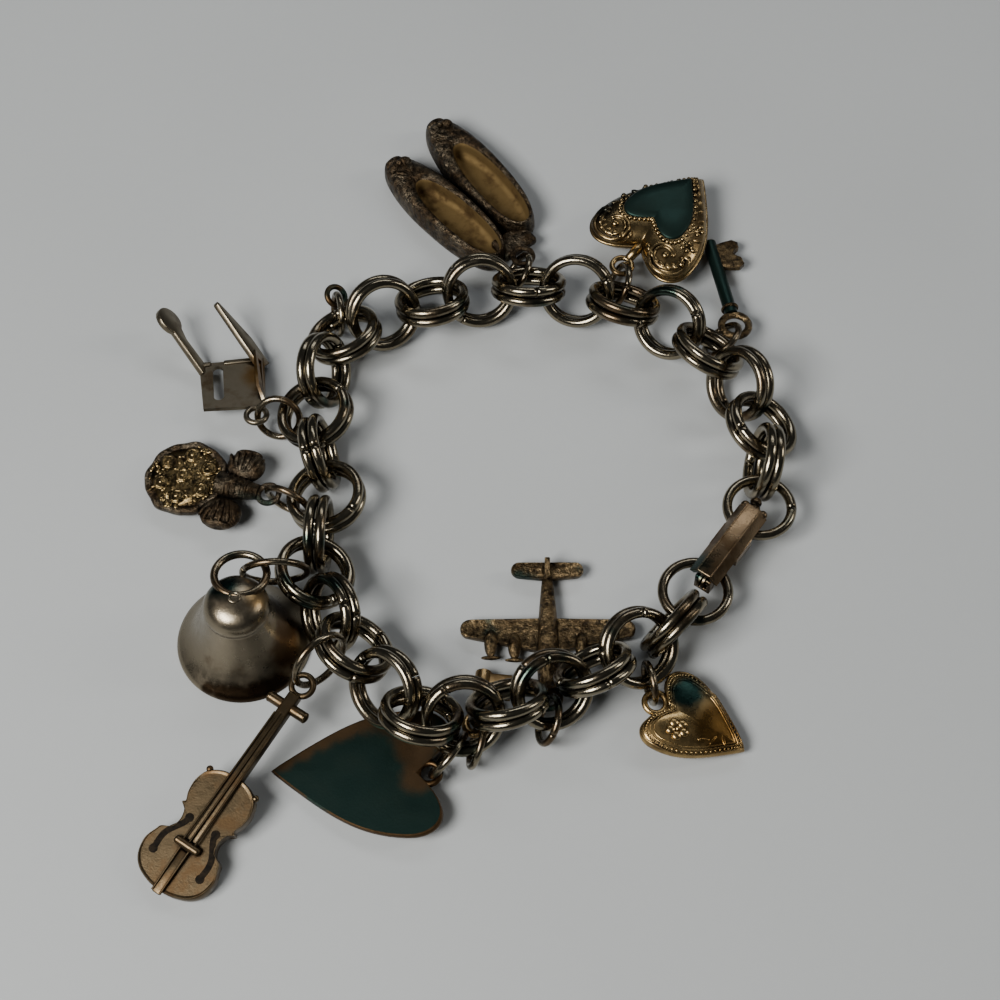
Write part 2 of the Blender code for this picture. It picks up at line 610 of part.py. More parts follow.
def airplane(height):
    """An airplane with four engines lying on its belly, its nose towards an eye at this height."""
    nose = EYE_OUTER / 2 - EYE_WIRE / 2
    axis = PLANE_BODY / 2 - height
    stations = [  # share of the length, share of the body's width, share of the height it rises
        (0.00, 0.42, 0.2), (0.06, 0.80, 0.0), (0.18, 1.00, 0.0), (0.45, 0.95, 0.0), (0.75, 0.62, 0.0),
        (1.00, 0.26, 0.1),
    ]
    rings = []
    for along, width, rise in stations:
        ring = []
        for step in range(8):
            turn = 2 * math.pi * (step + 0.5) / 8
            ring.append((nose + PLANE_LENGTH * along, PLANE_BODY / 2 * width * math.cos(turn),
                         axis + PLANE_BODY / 2 * (width * math.sin(turn) + rise)))
        rings.append(ring)
    body = lofted(rings)
    half = PLANE_SPAN / 2
    wing_front, wing_back = nose + PLANE_LENGTH * 0.30, nose + PLANE_LENGTH * 0.56
    tip_front, tip_back = nose + PLANE_LENGTH * 0.42, nose + PLANE_LENGTH * 0.55
    wing = plate([(wing_front, 0), (tip_front, half), (tip_back, half), (wing_back, 0), (tip_back, -half),
                  (tip_front, -half)], axis - 0.6 * MM, axis + 0.2 * MM)
    tail_front, tail_back = nose + PLANE_LENGTH * 0.86, nose + PLANE_LENGTH * 0.98
    tail_half = half * 0.42
    tail = plate([(tail_front, 0), (tail_front + 0.5 * MM, tail_half), (tail_back, tail_half),
                  (tail_back, -tail_half), (tail_front + 0.5 * MM, -tail_half)], axis - 0.2 * MM, axis + 0.4 * MM)
    fin = block((tail_front, -0.3 * MM, axis), (tail_back + 0.3 * MM, 0.3 * MM, axis + 1.8 * MM))
    solids = [wing, tail, fin]
    for side in (-1, 1):
        for share in (0.38, 0.65):
            front = nose + PLANE_LENGTH * (0.24 + 0.06 * share)
            solids.append(rod((front, side * half * share, axis - 0.1 * MM),
                              (front + 3.4 * MM, side * half * share, axis - 0.1 * MM), 0.65 * MM, 6, 0.3 * MM))
    neck = rod((nose - EYE_WIRE / 4, 0, 0), (nose + PLANE_LENGTH * 0.09, 0, axis), EYE_WIRE * 0.8, 8)
    return combined(body, solids + [neck, charm_eye()])


def bouquet():
    """A round posy with seven rosettes, and a bow of two lumps round its handle."""
    radius = BOUQUET_DISC / 2
    centre = EYE_OUTER / 2 + 3.6 * MM + radius
    rows = [(0.86, -0.5), (1.0, -0.1), (0.94, 0.3), (0.70, 0.5)]
    corners = 16
    rings = []
    for share, height in rows:
        ring = []
        for step in range(corners):
            turn = 2 * math.pi * step / corners
            ring.append((centre + radius * share * math.cos(turn), radius * share * math.sin(turn),
                         BOUQUET_THICK * height))
        rings.append(ring)
    disc = lofted(rings)
    solids = [ball((centre, 0, BOUQUET_THICK * 0.48), (2.6 * MM, 2.6 * MM, 1.0 * MM), 8, 4)]
    for step in range(6):
        turn = 2 * math.pi * (step + 0.5) / 6
        spot = (centre + radius * 0.62 * math.cos(turn), radius * 0.62 * math.sin(turn), BOUQUET_THICK * 0.46)
        solids.append(ball(spot, (2.4 * MM, 2.4 * MM, 1.0 * MM), 6, 4))
    neck = EYE_OUTER / 2 - EYE_WIRE / 2
    solids.append(rod((neck, 0, 0), (centre - radius * 0.8, 0, 0), 0.8 * MM, 8, 1.5 * MM))
    for back, side, size in BOW_LUMPS:
        solids.append(ball((centre - back, side, 0.08 * MM), size, 10, 6))
    return combined(disc, solids + [charm_eye()])


def chair():
    """A sheet-metal chair lying on its back: a slotted plate whose far corners carry two raised legs."""
    start = EYE_OUTER / 2 - EYE_WIRE / 2
    end = start + CHAIR_SEAT
    low, high = -CHAIR_SIDE * 0.15, CHAIR_SIDE * 0.85
    base = block((start, low, -CHAIR_PLATE / 2), (end, high, CHAIR_PLATE / 2))
    slots = []
    for near, far in ((0.50, 0.68), (0.00, 0.16)):
        slots.append(block((start + 1.0 * MM, CHAIR_SIDE * near, -CHAIR_PLATE),
                           (end - 0.8 * MM, CHAIR_SIDE * far, CHAIR_PLATE)))
    base = combined(base, slots, "DIFFERENCE")
    solids = []
    hooked = [(0.0, 0.0), (1.6 * MM, 0.0), (1.5 * MM, CHAIR_LEG * 0.6)]
    for step in range(7):
        turn = math.radians(-60.0 + 50.0 * step)
        hooked.append((1.1 * MM + CHAIR_FOOT / 2 * math.cos(turn), CHAIR_LEG + CHAIR_FOOT / 2 * math.sin(turn)))
    pointed = [(0.0, 0.0), (2.2 * MM, 0.0), (2.3 * MM, CHAIR_LEG * 0.5), (1.0 * MM, CHAIR_LEG * 1.25),
               (0.4 * MM, CHAIR_LEG * 1.25), (0.1 * MM, CHAIR_LEG * 0.5)]
    for edge, leg in ((low, pointed), (high - CHAIR_PLATE, hooked)):
        turn = Matrix.Rotation(math.radians(90.0 - CHAIR_LEG_SPLAY), 4, "X")
        lean = Matrix.Rotation(math.radians(-CHAIR_LEG_LEAN), 4, "Z")
        place = Matrix.Translation((end - 1.8 * MM, edge + CHAIR_PLATE, 0.0)) @ turn @ lean
        solids.append(moved(plate(leg, 0.0, CHAIR_PLATE), place))
    return combined(base, solids + [charm_eye()])


def bell():
    """An open bell standing on its mouth, with a wire bail through its crown."""
    mouth = BELL_MOUTH / 2
    outer = [  # share of the mouth's radius, share of the height, from mouth to crown
        (1.00, 0.00), (0.98, 0.05), (0.82, 0.15), (0.65, 0.32), (0.54, 0.54), (0.48, 0.72), (0.43, 0.86),
        (0.27, 0.96), (0.00, 1.00),
    ]
    profile = [(mouth * radius, BELL_HEIGHT * height) for radius, height in outer]
    inner = [(max(radius - BELL_WALL, 0.0), height - (BELL_WALL if index > 5 else 0.0))
             for index, (radius, height) in enumerate(profile)]
    shell = turned(profile + list(reversed(inner)), 20)
    bail = wire_ring(BELL_BAIL, BELL_BAIL_WIRE, 12)
    return combined(shell, [moved(bail, bail_matrix())])


def bail_matrix():
    """The bail's place on the bell: its upper end in the crown's wall, the rest leaning outwards."""
    along = heading(BELL_BAIL_HEADING, BELL_BAIL_SLOPE)
    across = heading(BELL_BAIL_HEADING + 90.0)
    centre = Vector((0, 0, BELL_HEIGHT - BELL_WALL / 2)) + along * (BELL_BAIL / 2)
    return frame_matrix(centre, along, across)


def jump_ring(name, start, run, end, outer, twist, parent):
    """A jump ring round the chain's wire at start, reaching towards end; returns where an eye hangs in it."""
    along = (end - start).normalized()
    centre_line = (outer - JUMP_WIRE) / 2
    inner = centre_line - JUMP_WIRE / 2
    seat = inner - (WIRE + PAIR_STEP) / 2 - SEAT_GAP
    centre = start + along * seat
    hang = centre + along * (inner - EYE_WIRE / 2 - SEAT_GAP)
    normal = (run - along * run.dot(along)).normalized()
    normal.rotate(Matrix.Rotation(math.radians(twist), 3, along))
    across = normal.cross(along)
    add_object(name, wire_ring(outer, JUMP_WIRE, JUMP_SIDES), "chain_steel",
               frame_matrix(centre, along, across), parent)
    return hang


def ball_drop():
    """A small round bead on an eye."""
    centre = EYE_OUTER / 2 + BALL_WIDTH / 2 - 0.3 * MM
    return combined(charm_eye(), [ball((centre, 0, 0), (BALL_WIDTH, BALL_WIDTH, BALL_WIDTH), 10, 8)])


# Each hanging charm: its builder, finish, link and place round the link in degrees; the jump ring's
# heading, fall, outer size in mm and twist; the charm's heading, and how far off and how high its far
# end rests in mm, or 0 for a charm that lies flat
HANGINGS = {
    "ballet_slippers": (slippers, "charm_dark", 8, 70, 76, -8, 5.6, 16, 129, 0, 0),
    "embossed_heart": (big_heart, "charm_gilt", 6, 62, 80, -14, 6.0, 10, 51, 14.0, 3.3),
    "large_key": (big_key, "charm_gilt", 4, 77, 50, -11, 5.8, 35, 100, 14.0, 1.2),
    "chair": (chair, "charm_silver", 14, 90, 172, -2, 5.8, 30, 97, 10.0, 1.0),
    "bouquet": (bouquet, "charm_gilt", 16, 90, 154, 18, 5.9, 4, 165, 13.0, 1.5),
    "violin": (violin, "charm_gilt", 20, 96, 230, 40, 7.4, -6, 236, 25.0, 1.4),
    "plain_heart": (plain_heart, "charm_dark", 23, -112, 221, 34, 6.4, 15, 177, 16.0, 0.6),
    "small_key": (small_key, "charm_gilt", 23, -75, 90, 29, 6.0, 37, 84, 7.0, 1.2),
    "airplane": (airplane, "charm_gilt", 25, -112, 88, 3, 5.8, 9, 90, 0, 0),
    "small_heart": (small_heart, "charm_gilt", 27, -98, 283, 2, 5.2, 4, 332, 11.0, 1.0),
    "ball_drop": (ball_drop, "charm_dark", 12, 123, 102, 1, 5.6, 24, -23, 2.7, 1.3),
}


def build_charms(links, parent):
    """Every charm on its jump ring, with its far end on the table."""
    eye_reach = (EYE_OUTER - EYE_WIRE) / 2
    for name, row in HANGINGS.items():
        builder, finish, link, around, ring_way, ring_fall, outer, twist, way, far, rest = row
        start = links[link].point(around)
        towards = heading(ring_way, ring_fall)
        hang = jump_ring(f"jump_ring_{name}", start, links[link].run(around), start + towards, outer * MM,
                         twist, parent)
        fall = math.degrees(math.asin((hang.z - rest * MM) / (far * MM))) if far else 0.0
        turn = frame_matrix(Vector((0, 0, 0)), heading(way, fall), heading(way + 90.0))
        normal = turn.to_3x3() @ Vector((0, 0, 1))
        flat = (towards - normal * towards.dot(normal)).normalized()
        eye = hang + flat * eye_reach
        solid = builder() if far else builder(eye.z)
        add_object(name, solid, finish, Matrix.Translation(eye) @ turn, parent)


def build_bell(links, parent):
    """The bell standing on the table, and the jump ring from its bail to the chain."""
    place = Matrix.Translation((BELL_PLACE[0] * MM, BELL_PLACE[1] * MM, 0.0))
    add_object("bell", bell(), "charm_silver", place, parent)
    bail_reach, turn = (BELL_BAIL - BELL_BAIL_WIRE) / 2, math.radians(BELL_RIM)
    rim = place @ bail_matrix() @ Vector((bail_reach * math.cos(turn), bail_reach * math.sin(turn), 0.0))
    start = links[BELL_LINK].point(BELL_AROUND)
    reach = (rim - start).length
    outer = reach + (BELL_BAIL_WIRE + WIRE + PAIR_STEP) / 2 + 2 * JUMP_WIRE + 2 * SEAT_GAP
    jump_ring("jump_ring_bell", start, links[BELL_LINK].run(BELL_AROUND), rim, outer, BELL_TWIST, parent)


def settle(parent):
    """Move the whole bracelet so that its box is centred on the origin and stands on the table."""
    bpy.context.view_layer.update()
    corners = [piece.matrix_world @ vertex.co for piece in parent.children for vertex in piece.data.vertices]
    low = Vector([min(corner[axis] for corner in corners) for axis in range(3)])
    high = Vector([max(corner[axis] for corner in corners) for axis in range(3)])
    parent.location = (-(low.x + high.x) / 2, -(low.y + high.y) / 2, -low.z)
    bpy.context.view_layer.update()


def main():
    clear_scene()
    bracelet = bpy.data.objects.new("bracelet_origin", None)
    bpy.context.scene.collection.objects.link(bracelet)
    links = chain_links()
    build_chain(links, bracelet)
    build_clasp(links, bracelet)
    build_charms(links, bracelet)
    build_bell(links, bracelet)
    settle(bracelet)


main()
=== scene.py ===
import json
import math
import random

import bmesh
import bpy
from bpy.props import FloatProperty, FloatVectorProperty, PointerProperty
from mathutils import Matrix, Vector


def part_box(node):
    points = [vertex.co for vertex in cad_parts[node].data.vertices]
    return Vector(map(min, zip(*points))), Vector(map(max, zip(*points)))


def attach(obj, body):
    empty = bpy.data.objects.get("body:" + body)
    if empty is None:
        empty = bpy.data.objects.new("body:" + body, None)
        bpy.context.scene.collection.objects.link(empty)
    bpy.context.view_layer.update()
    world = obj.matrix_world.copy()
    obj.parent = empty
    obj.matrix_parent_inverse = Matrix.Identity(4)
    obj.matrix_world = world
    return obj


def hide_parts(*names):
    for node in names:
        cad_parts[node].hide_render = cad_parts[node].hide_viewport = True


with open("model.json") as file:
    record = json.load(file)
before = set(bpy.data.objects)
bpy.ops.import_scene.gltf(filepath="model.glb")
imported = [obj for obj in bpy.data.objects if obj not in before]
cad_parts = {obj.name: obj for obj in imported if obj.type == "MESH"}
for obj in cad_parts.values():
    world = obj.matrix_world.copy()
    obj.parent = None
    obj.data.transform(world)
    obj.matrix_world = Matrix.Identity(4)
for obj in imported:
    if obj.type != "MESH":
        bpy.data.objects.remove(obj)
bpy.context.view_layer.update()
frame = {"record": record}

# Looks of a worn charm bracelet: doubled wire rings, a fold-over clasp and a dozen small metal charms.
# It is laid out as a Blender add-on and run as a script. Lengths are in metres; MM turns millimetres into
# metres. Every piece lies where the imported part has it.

bl_info = {
    "name": "Charm bracelet looks",
    "version": (1, 0, 0),
    "blender": (4, 5, 0),
    "location": "3D View > Sidebar > Bracelet",
    "description": "Dresses the packed charm bracelet with fine rings, charms and tarnished metal",
    "category": "Object",
}

MM = 0.001
BODY = "bracelet"


def mm(*lengths):
    """Lengths given in millimetres, as a tuple in metres."""
    return tuple(length * MM for length in lengths)


# Sizes of the chain, the same as in the part
WIRE = 1.2 * MM
LINK_OUTER = 9.15 * MM
PAIR_STEP = 1.2 * MM
LINK_HANG = 3.7 * MM
END_OUTER = 8.5 * MM
END_HEIGHT = 3.5 * MM
JUMP_WIRE = 0.8 * MM
EYE_WIRE = 0.7 * MM
EYE_OUTER = 3.1 * MM
EYE_REACH = EYE_OUTER / 2 - EYE_WIRE / 2
SEAT_GAP = 0.3 * MM

# Clasp
CLASP_FLOOR = 1.8 * MM
PIN_HEIGHT = 2.0 * MM
HINGE_RING_SEAT = 1.95 * MM
COVER_LENGTH = 10.2 * MM
COVER_TOP = 3.95 * MM
COVER_WIDTH = 4.2 * MM
COVER_TOP_WIDTH = 2.6 * MM

# Charms
PLAIN_HEART_LENGTH, PLAIN_HEART_WIDTH, PLAIN_HEART_THICK = 16.0 * MM, 14.6 * MM, 0.8 * MM
BIG_HEART_LENGTH, BIG_HEART_WIDTH, BIG_HEART_THICK = 12.8 * MM, 14.2 * MM, 4.0 * MM
BIG_HEART_NECK = 2.2 * MM
SMALL_HEART_LENGTH, SMALL_HEART_WIDTH, SMALL_HEART_THICK = 9.4 * MM, 9.8 * MM, 2.6 * MM
SLIPPER_LENGTH, SLIPPER_WIDTH, SLIPPER_HEIGHT = 21.2 * MM, 6.6 * MM, 3.6 * MM
SLIPPER_SPLAY, SLIPPER_SPACING, SHOES_SHIFT = 3.5, 2.75 * MM, -0.5 * MM
LEFT_SHOE_AHEAD, RIGHT_SHOE_AHEAD = 1.4 * MM, 3.0 * MM
BIG_KEY_LENGTH, SMALL_KEY_LENGTH = 15.5 * MM, 8.5 * MM
BIG_KEY_BOW, SMALL_KEY_BOW = 4.2 * MM, 3.4 * MM
KEY_SHANK, SMALL_KEY_SHANK = 1.6 * MM, 1.9 * MM
BIG_KEY_BIT = mm(4.6, 3.4)
SMALL_KEY_BIT = mm(3.0, 3.2)
BELL_MOUTH, BELL_HEIGHT, BELL_WALL = 15.0 * MM, 10.8 * MM, 0.6 * MM
BELL_BAIL, BELL_BAIL_WIRE = 6.6 * MM, 0.9 * MM
BELL_BAIL_HEADING, BELL_BAIL_SLOPE = 83.0, 10.4
BELL_PLACE = (-28.6, -18.3)
BELL_LINK, BELL_AROUND, BELL_RIM, BELL_TWIST = 18, 82.8, -56.6, -14.8
VIOLIN_BODY, VIOLIN_WIDTH, VIOLIN_THICK, VIOLIN_NECK = 14.2 * MM, 9.2 * MM, 1.5 * MM, 10.4 * MM
PLANE_LENGTH, PLANE_SPAN, PLANE_BODY = 16.6 * MM, 19.6 * MM, 2.5 * MM
BOUQUET_DISC, BOUQUET_THICK = 10.0 * MM, 2.2 * MM
BOW_LUMPS = (  # back from the disc's centre, to the left, and three widths
    (6.4 * MM, -3.0 * MM, mm(4.6, 4.2, 2.2)),
    (5.5 * MM, 3.65 * MM, mm(5.0, 4.2, 2.2)),
)
CHAIR_PLATE, CHAIR_SEAT, CHAIR_SIDE, CHAIR_LEG, CHAIR_LEG_LEAN = 0.7 * MM, 8.0 * MM, 7.6 * MM, 7.6 * MM, 42.0
CHAIR_LEG_SPLAY, CHAIR_FOOT = 42.0, 2.9 * MM
BALL_WIDTH = 2.2 * MM

# The chain's route: the centres of the first ring, every second link and the last ring, in mm
ROUTE = [
    (29.6, -3.0), (30.4, 7.8), (24.7, 17.8), (14.9, 24.7), (3.4, 27.2), (-8.2, 25.3), (-18.6, 20.2),
    (-21.6, 9.4), (-19.8, -2.0), (-20.6, -12.0), (-15.8, -22.0), (-8.4, -30.2), (0.9, -28.8),
    (10.2, -24.6), (19.1, -18.4), (21.8, -13.8),
]

# Each link's lean in degrees and the height that it is raised by in mm
LINKS = [
    (76, 0.0), (-32, 0.0), (58, 0.3), (-39, 0.8), (56, 0.7), (-36, 0.8), (55, 0.4), (-36, 0.8),
    (56, 0.2), (-27, 0.3), (55, 0.3), (-26, 0.6), (66, 0.0), (-18, 0.4), (74, 0.0), (-10, 0.4),
    (88, 0.0), (20, 0.9), (119, 0.5), (36, 2.4), (126, 2.0), (36, 2.7), (130, 2.4), (42, 2.6),
    (132, 1.8), (46, 2.1), (140, 1.4), (72, 0.0),
]

# Each hanging charm: its link and place round the link in degrees; the jump ring's heading, fall, outer
# size in mm and twist; the charm's heading, and how far off and how high its far end rests in mm
HANGINGS = {
    "ballet_slippers": (8, 70, 76, -8, 5.6, 16, 129, 0, 0),
    "embossed_heart": (6, 62, 80, -14, 6.0, 10, 51, 14.0, 3.3),
    "large_key": (4, 77, 50, -11, 5.8, 35, 100, 14.0, 1.2),
    "chair": (14, 90, 172, -2, 5.8, 30, 97, 10.0, 1.0),
    "bouquet": (16, 90, 154, 18, 5.9, 4, 165, 13.0, 1.5),
    "violin": (20, 96, 230, 40, 7.4, -6, 236, 25.0, 1.4),
    "plain_heart": (23, -112, 221, 34, 6.4, 15, 177, 16.0, 0.6),
    "small_key": (23, -75, 90, 29, 6.0, 37, 84, 7.0, 1.2),
    "airplane": (25, -112, 88, 3, 5.8, 9, 90, 0, 0),
    "small_heart": (27, -98, 283, 2, 5.2, 4, 332, 11.0, 1.0),
    "ball_drop": (12, 123, 102, 1, 5.6, 24, -23, 2.7, 1.3),
}

# Brown stains of the plain heart: share of its length, share of its width, reach in mm
PLAIN_HEART_STAINS = (
    (0.92, -0.08, 1.3), (0.80, -0.18, 1.5), (0.67, -0.27, 1.6), (0.54, -0.36, 1.8), (0.40, -0.44, 2.1),
    (0.24, -0.48, 2.5), (0.08, -0.40, 2.8), (0.02, -0.20, 2.4), (0.00, 0.04, 1.9),
)

# Brown clouds of the bell, and low on its foot near-black streaks of painted shade towards the chain:
# degrees round it, share of its height, reach in mm
BELL_STAINS_AND_SHADE = (
    (-55, 0.07, 1.7), (-68, 0.07, 1.6), (-81, 0.07, 1.5), (-94, 0.07, 1.5), (-107, 0.07, 1.3),
    (-120, 0.06, 1.0), (-25, 0.26, 2.4), (4, 0.34, 2.6), (22, 0.40, 2.0),
)

# Each metal: its colour, or the name of a colour that the user sets; how patchy it is and the patches' size
# in mm; how much teal; roughness; height of its cast lumps in mm; how far its hollows darken in mm, with
# black tarnish and painted shade
METALS = {
    "chain metal": ("bright", 0.5, 5.0, 0.25, 0.14, 0.0, 1.3),
    "jump ring metal": ("bright", 0.75, 3.0, 0.2, 0.17, 0.0, 1.0),
    "clasp metal": ((0.185, 0.128, 0.074), 0.6, 3.5, 0.1, 0.24, 0.0, 0.8),
    "bell metal": ((0.225, 0.190, 0.135), 0.25, 5.0, 0.0, 0.27, 0.0, 0.8),
    "chair metal": ((0.185, 0.158, 0.112), 0.45, 4.0, 0.0, 0.30, 0.0, 0.6),
    "flower heart metal": ((0.41, 0.28, 0.120), 0.45, 3.5, 0.0, 0.24, 0.0, 0.45),
    "embossed charm metal": ((0.30, 0.212, 0.098), 0.45, 3.5, 0.0, 0.22, 0.0, 1.0),
    "gilt charm metal": ("gilt", 0.5, 3.5, 0.1, 0.26, 0.0, 0.5),
    "cast charm metal": ((0.250, 0.175, 0.088), 0.5, 2.4, 0.1, 0.30, 0.14, 0.9),
    "dark cast metal": ((0.200, 0.160, 0.108), 0.8, 2.4, 0.1, 0.30, 0.16, 0.9),
    "bloom metal": ((0.40, 0.285, 0.125), 0.4, 2.4, 0.0, 0.24, 0.05, 0.5),
    "violin metal": ((0.095, 0.070, 0.040), 0.5, 3.0, 0.1, 0.30, 0.0, 0.6),
    "rough gold hollow": ((0.19, 0.130, 0.055), 0.45, 3.2, 0.0, 0.7, 0.0, 0.7),
    "dark charm metal": ("brown", 0.8, 3.0, 0.4, 0.3, 0.0, 0.6),
}

# Each lamp: its name, place, two sizes, share of the window's power and colour
LAMPS = (
    ("window", (-0.23, -0.20, 0.34), (0.22, 0.17), 1.0, (1.0, 0.98, 0.95)),
    ("back_light", (0.10, 0.42, 0.50), (0.50, 0.14), 0.22, (0.95, 0.97, 1.0)),
    ("side_light", (0.40, 0.05, 0.25), (0.08, 0.20), 0.14, (1.0, 0.96, 0.9)),
)


class BraceletSizes(bpy.types.PropertyGroup):
    """Sizes that a user would change."""

    wire: FloatProperty(name="Wire", description="Thickness of the chain's wire", default=1.2 * MM,
                        unit="LENGTH", precision=5)
    splay: FloatProperty(name="Splay", description="How far the rings of a pair lean apart", default=0.035,
                         subtype="ANGLE")
    seam: FloatProperty(name="Seam", description="Gap between the two ends of a ring's wire",
                        default=0.07 * MM, unit="LENGTH", precision=5)
    bead: FloatProperty(name="Bead", description="Width of the beads round the embossed heart",
                        default=0.62 * MM, unit="LENGTH", precision=5)


class BraceletColours(bpy.types.PropertyGroup):
    """Colours of the worn metal and of the table."""

    bright: FloatVectorProperty(name="Bright metal", description="Colour of rubbed metal", size=3,
                                default=(0.228, 0.198, 0.140), subtype="COLOR")
    gilt: FloatVectorProperty(name="Gilt metal", description="Colour of the warm, browned metal", size=3,
                              default=(0.290, 0.195, 0.090), subtype="COLOR")
    brown: FloatVectorProperty(name="Brown tarnish", description="Colour of the brown tarnish", size=3,
                               default=(0.070, 0.041, 0.019), subtype="COLOR")
    # Black tarnish, which also stands for painted shade in hollows and between crowded parts
    black: FloatVectorProperty(name="Black tarnish and shade", description="Colour of black tarnish, and of painted shade in hollows", size=3,
                               default=(0.011, 0.009, 0.007), subtype="COLOR")
    teal: FloatVectorProperty(name="Teal tarnish", description="Colour of the blue-green tarnish", size=3,
                              default=(0.014, 0.033, 0.028), subtype="COLOR")
    table: FloatVectorProperty(name="Table", description="Colour of the table", size=3,
                               default=(0.395, 0.412, 0.415), subtype="COLOR")


class BraceletLight(bpy.types.PropertyGroup):
    """The camera and the light."""

    elevation: FloatProperty(name="Elevation", description="Camera's angle above the table",
                             default=math.radians(60.0), subtype="ANGLE")
    distance: FloatProperty(name="Distance", description="Camera's distance from the bracelet",
                            default=0.245, unit="LENGTH")
    lens: FloatProperty(name="Lens", description="Focal length in millimetres", default=75.85)
    window: FloatProperty(name="Window", description="Power of the large soft light in watts", default=3.3)
    room: FloatProperty(name="Room", description="Brightness of the room", default=0.09)


def sizes():
    return bpy.context.scene.bracelet_sizes


def colours():
    return bpy.context.scene.bracelet_colours


def light():
    return bpy.context.scene.bracelet_light


class Number:
    """A number socket that takes part in Python sums."""

    def __init__(self, tree, socket):
        self.tree = tree
        self.socket = socket

    def worked(self, operation, other, flipped=False):
        made = self.tree.nodes.new("ShaderNodeMath")
        made.operation = operation
        for place, value in zip(made.inputs, (other, self) if flipped else (self, other)):
            if isinstance(value, Number):
                self.tree.links.new(value.socket, place)
            else:
                place.default_value = value
        return Number(self.tree, made.outputs[0])

    def __add__(self, other):
        return self.worked("ADD", other)

    __radd__ = __add__

    def __mul__(self, other):
        return self.worked("MULTIPLY", other)

    __rmul__ = __mul__

    def __sub__(self, other):
        return self.worked("SUBTRACT", other)

    def __rsub__(self, other):
        return self.worked("SUBTRACT", other, True)


class Finish:
    """A material and the nodes that make it."""

    def __init__(self, name, metallic=1.0):
        self.material = bpy.data.materials.new(name)
        self.material.use_nodes = True
        self.tree = self.material.node_tree
        self.shader = self.tree.nodes["Principled BSDF"]
        self.shader.inputs["Metallic"].default_value = metallic
        self.place = self.node("ShaderNodeTexCoord", {}, {}).outputs["Object"]

    def node(self, kind, settings, values):
        """A node of a kind, with its settings made first and its sockets filled or linked."""
        made = self.tree.nodes.new(kind)
        for name, setting in settings.items():
            if name == "stops":
                ramp = made.color_ramp.elements
                while len(ramp) < len(setting):
                    ramp.new(0.5)
                for element, (position, shade) in zip(ramp, setting):
                    element.position = position
                    element.color = (shade, shade, shade, 1.0)
            else:
                setattr(made, name, setting)
        for name, value in values.items():
            self.fill(made.inputs[name], value)
        return made

    def fill(self, socket, value):
        if isinstance(value, Number):
            self.tree.links.new(value.socket, socket)
        elif isinstance(value, bpy.types.NodeSocket):
            self.tree.links.new(value, socket)
        elif socket.type == "RGBA":
            socket.default_value = (*value, 1.0)
        else:
            socket.default_value = value

    def noise(self, scale, detail=3.0, roughness=0.55, low=0.35, high=0.65):
        """A mottled mask between 0 and 1, its patches 1 / scale wide."""
        grain = self.node("ShaderNodeTexNoise", {}, {
            "Vector": self.place, "Scale": scale, "Detail": detail, "Roughness": roughness})
        return self.spread(grain.outputs[0], low, high)

    def spread(self, socket, low, high):
        """A mask that runs from 0 at low to 1 at high."""
        value = socket.socket if isinstance(socket, Number) else socket
        made = self.node("ShaderNodeMapRange", {"interpolation_type": "SMOOTHSTEP"}, {
            "Value": value, "From Min": low, "From Max": high})
        return Number(self.tree, made.outputs[0])

    def mixed(self, mask, first, second):
        """A colour that goes from first to second with the mask."""
        made = self.node("ShaderNodeMix", {"data_type": "RGBA"}, {0: mask, 6: first, 7: second})
        return made.outputs[2]

    def hollows(self, distance):
        """A mask that is 1 in hollows and 0 on open surfaces, from ambient occlusion: it paints shade as well
        as marking tarnish.
        """
        made = self.node("ShaderNodeAmbientOcclusion", {"samples": 6, "only_local": True},
                         {"Distance": distance})
        return self.spread(made.outputs["AO"], 0.85, 0.35)

    def stain(self, centre, reach, film):
        """A mask that is 1 round a place and fades at a ragged edge."""
        away = self.node("ShaderNodeVectorMath", {"operation": "DISTANCE"}, {0: self.place, 1: tuple(centre)})
        ragged = Number(self.tree, away.outputs["Value"]) + film * (reach * 0.18)
        return self.spread(ragged, reach * 1.40, reach * 0.60)

    def bumped(self, height, distance, strength=1.0):
        made = self.node("ShaderNodeBump", {}, {"Height": height, "Distance": distance, "Strength": strength})
        self.tree.links.new(made.outputs["Normal"], self.shader.inputs["Normal"])


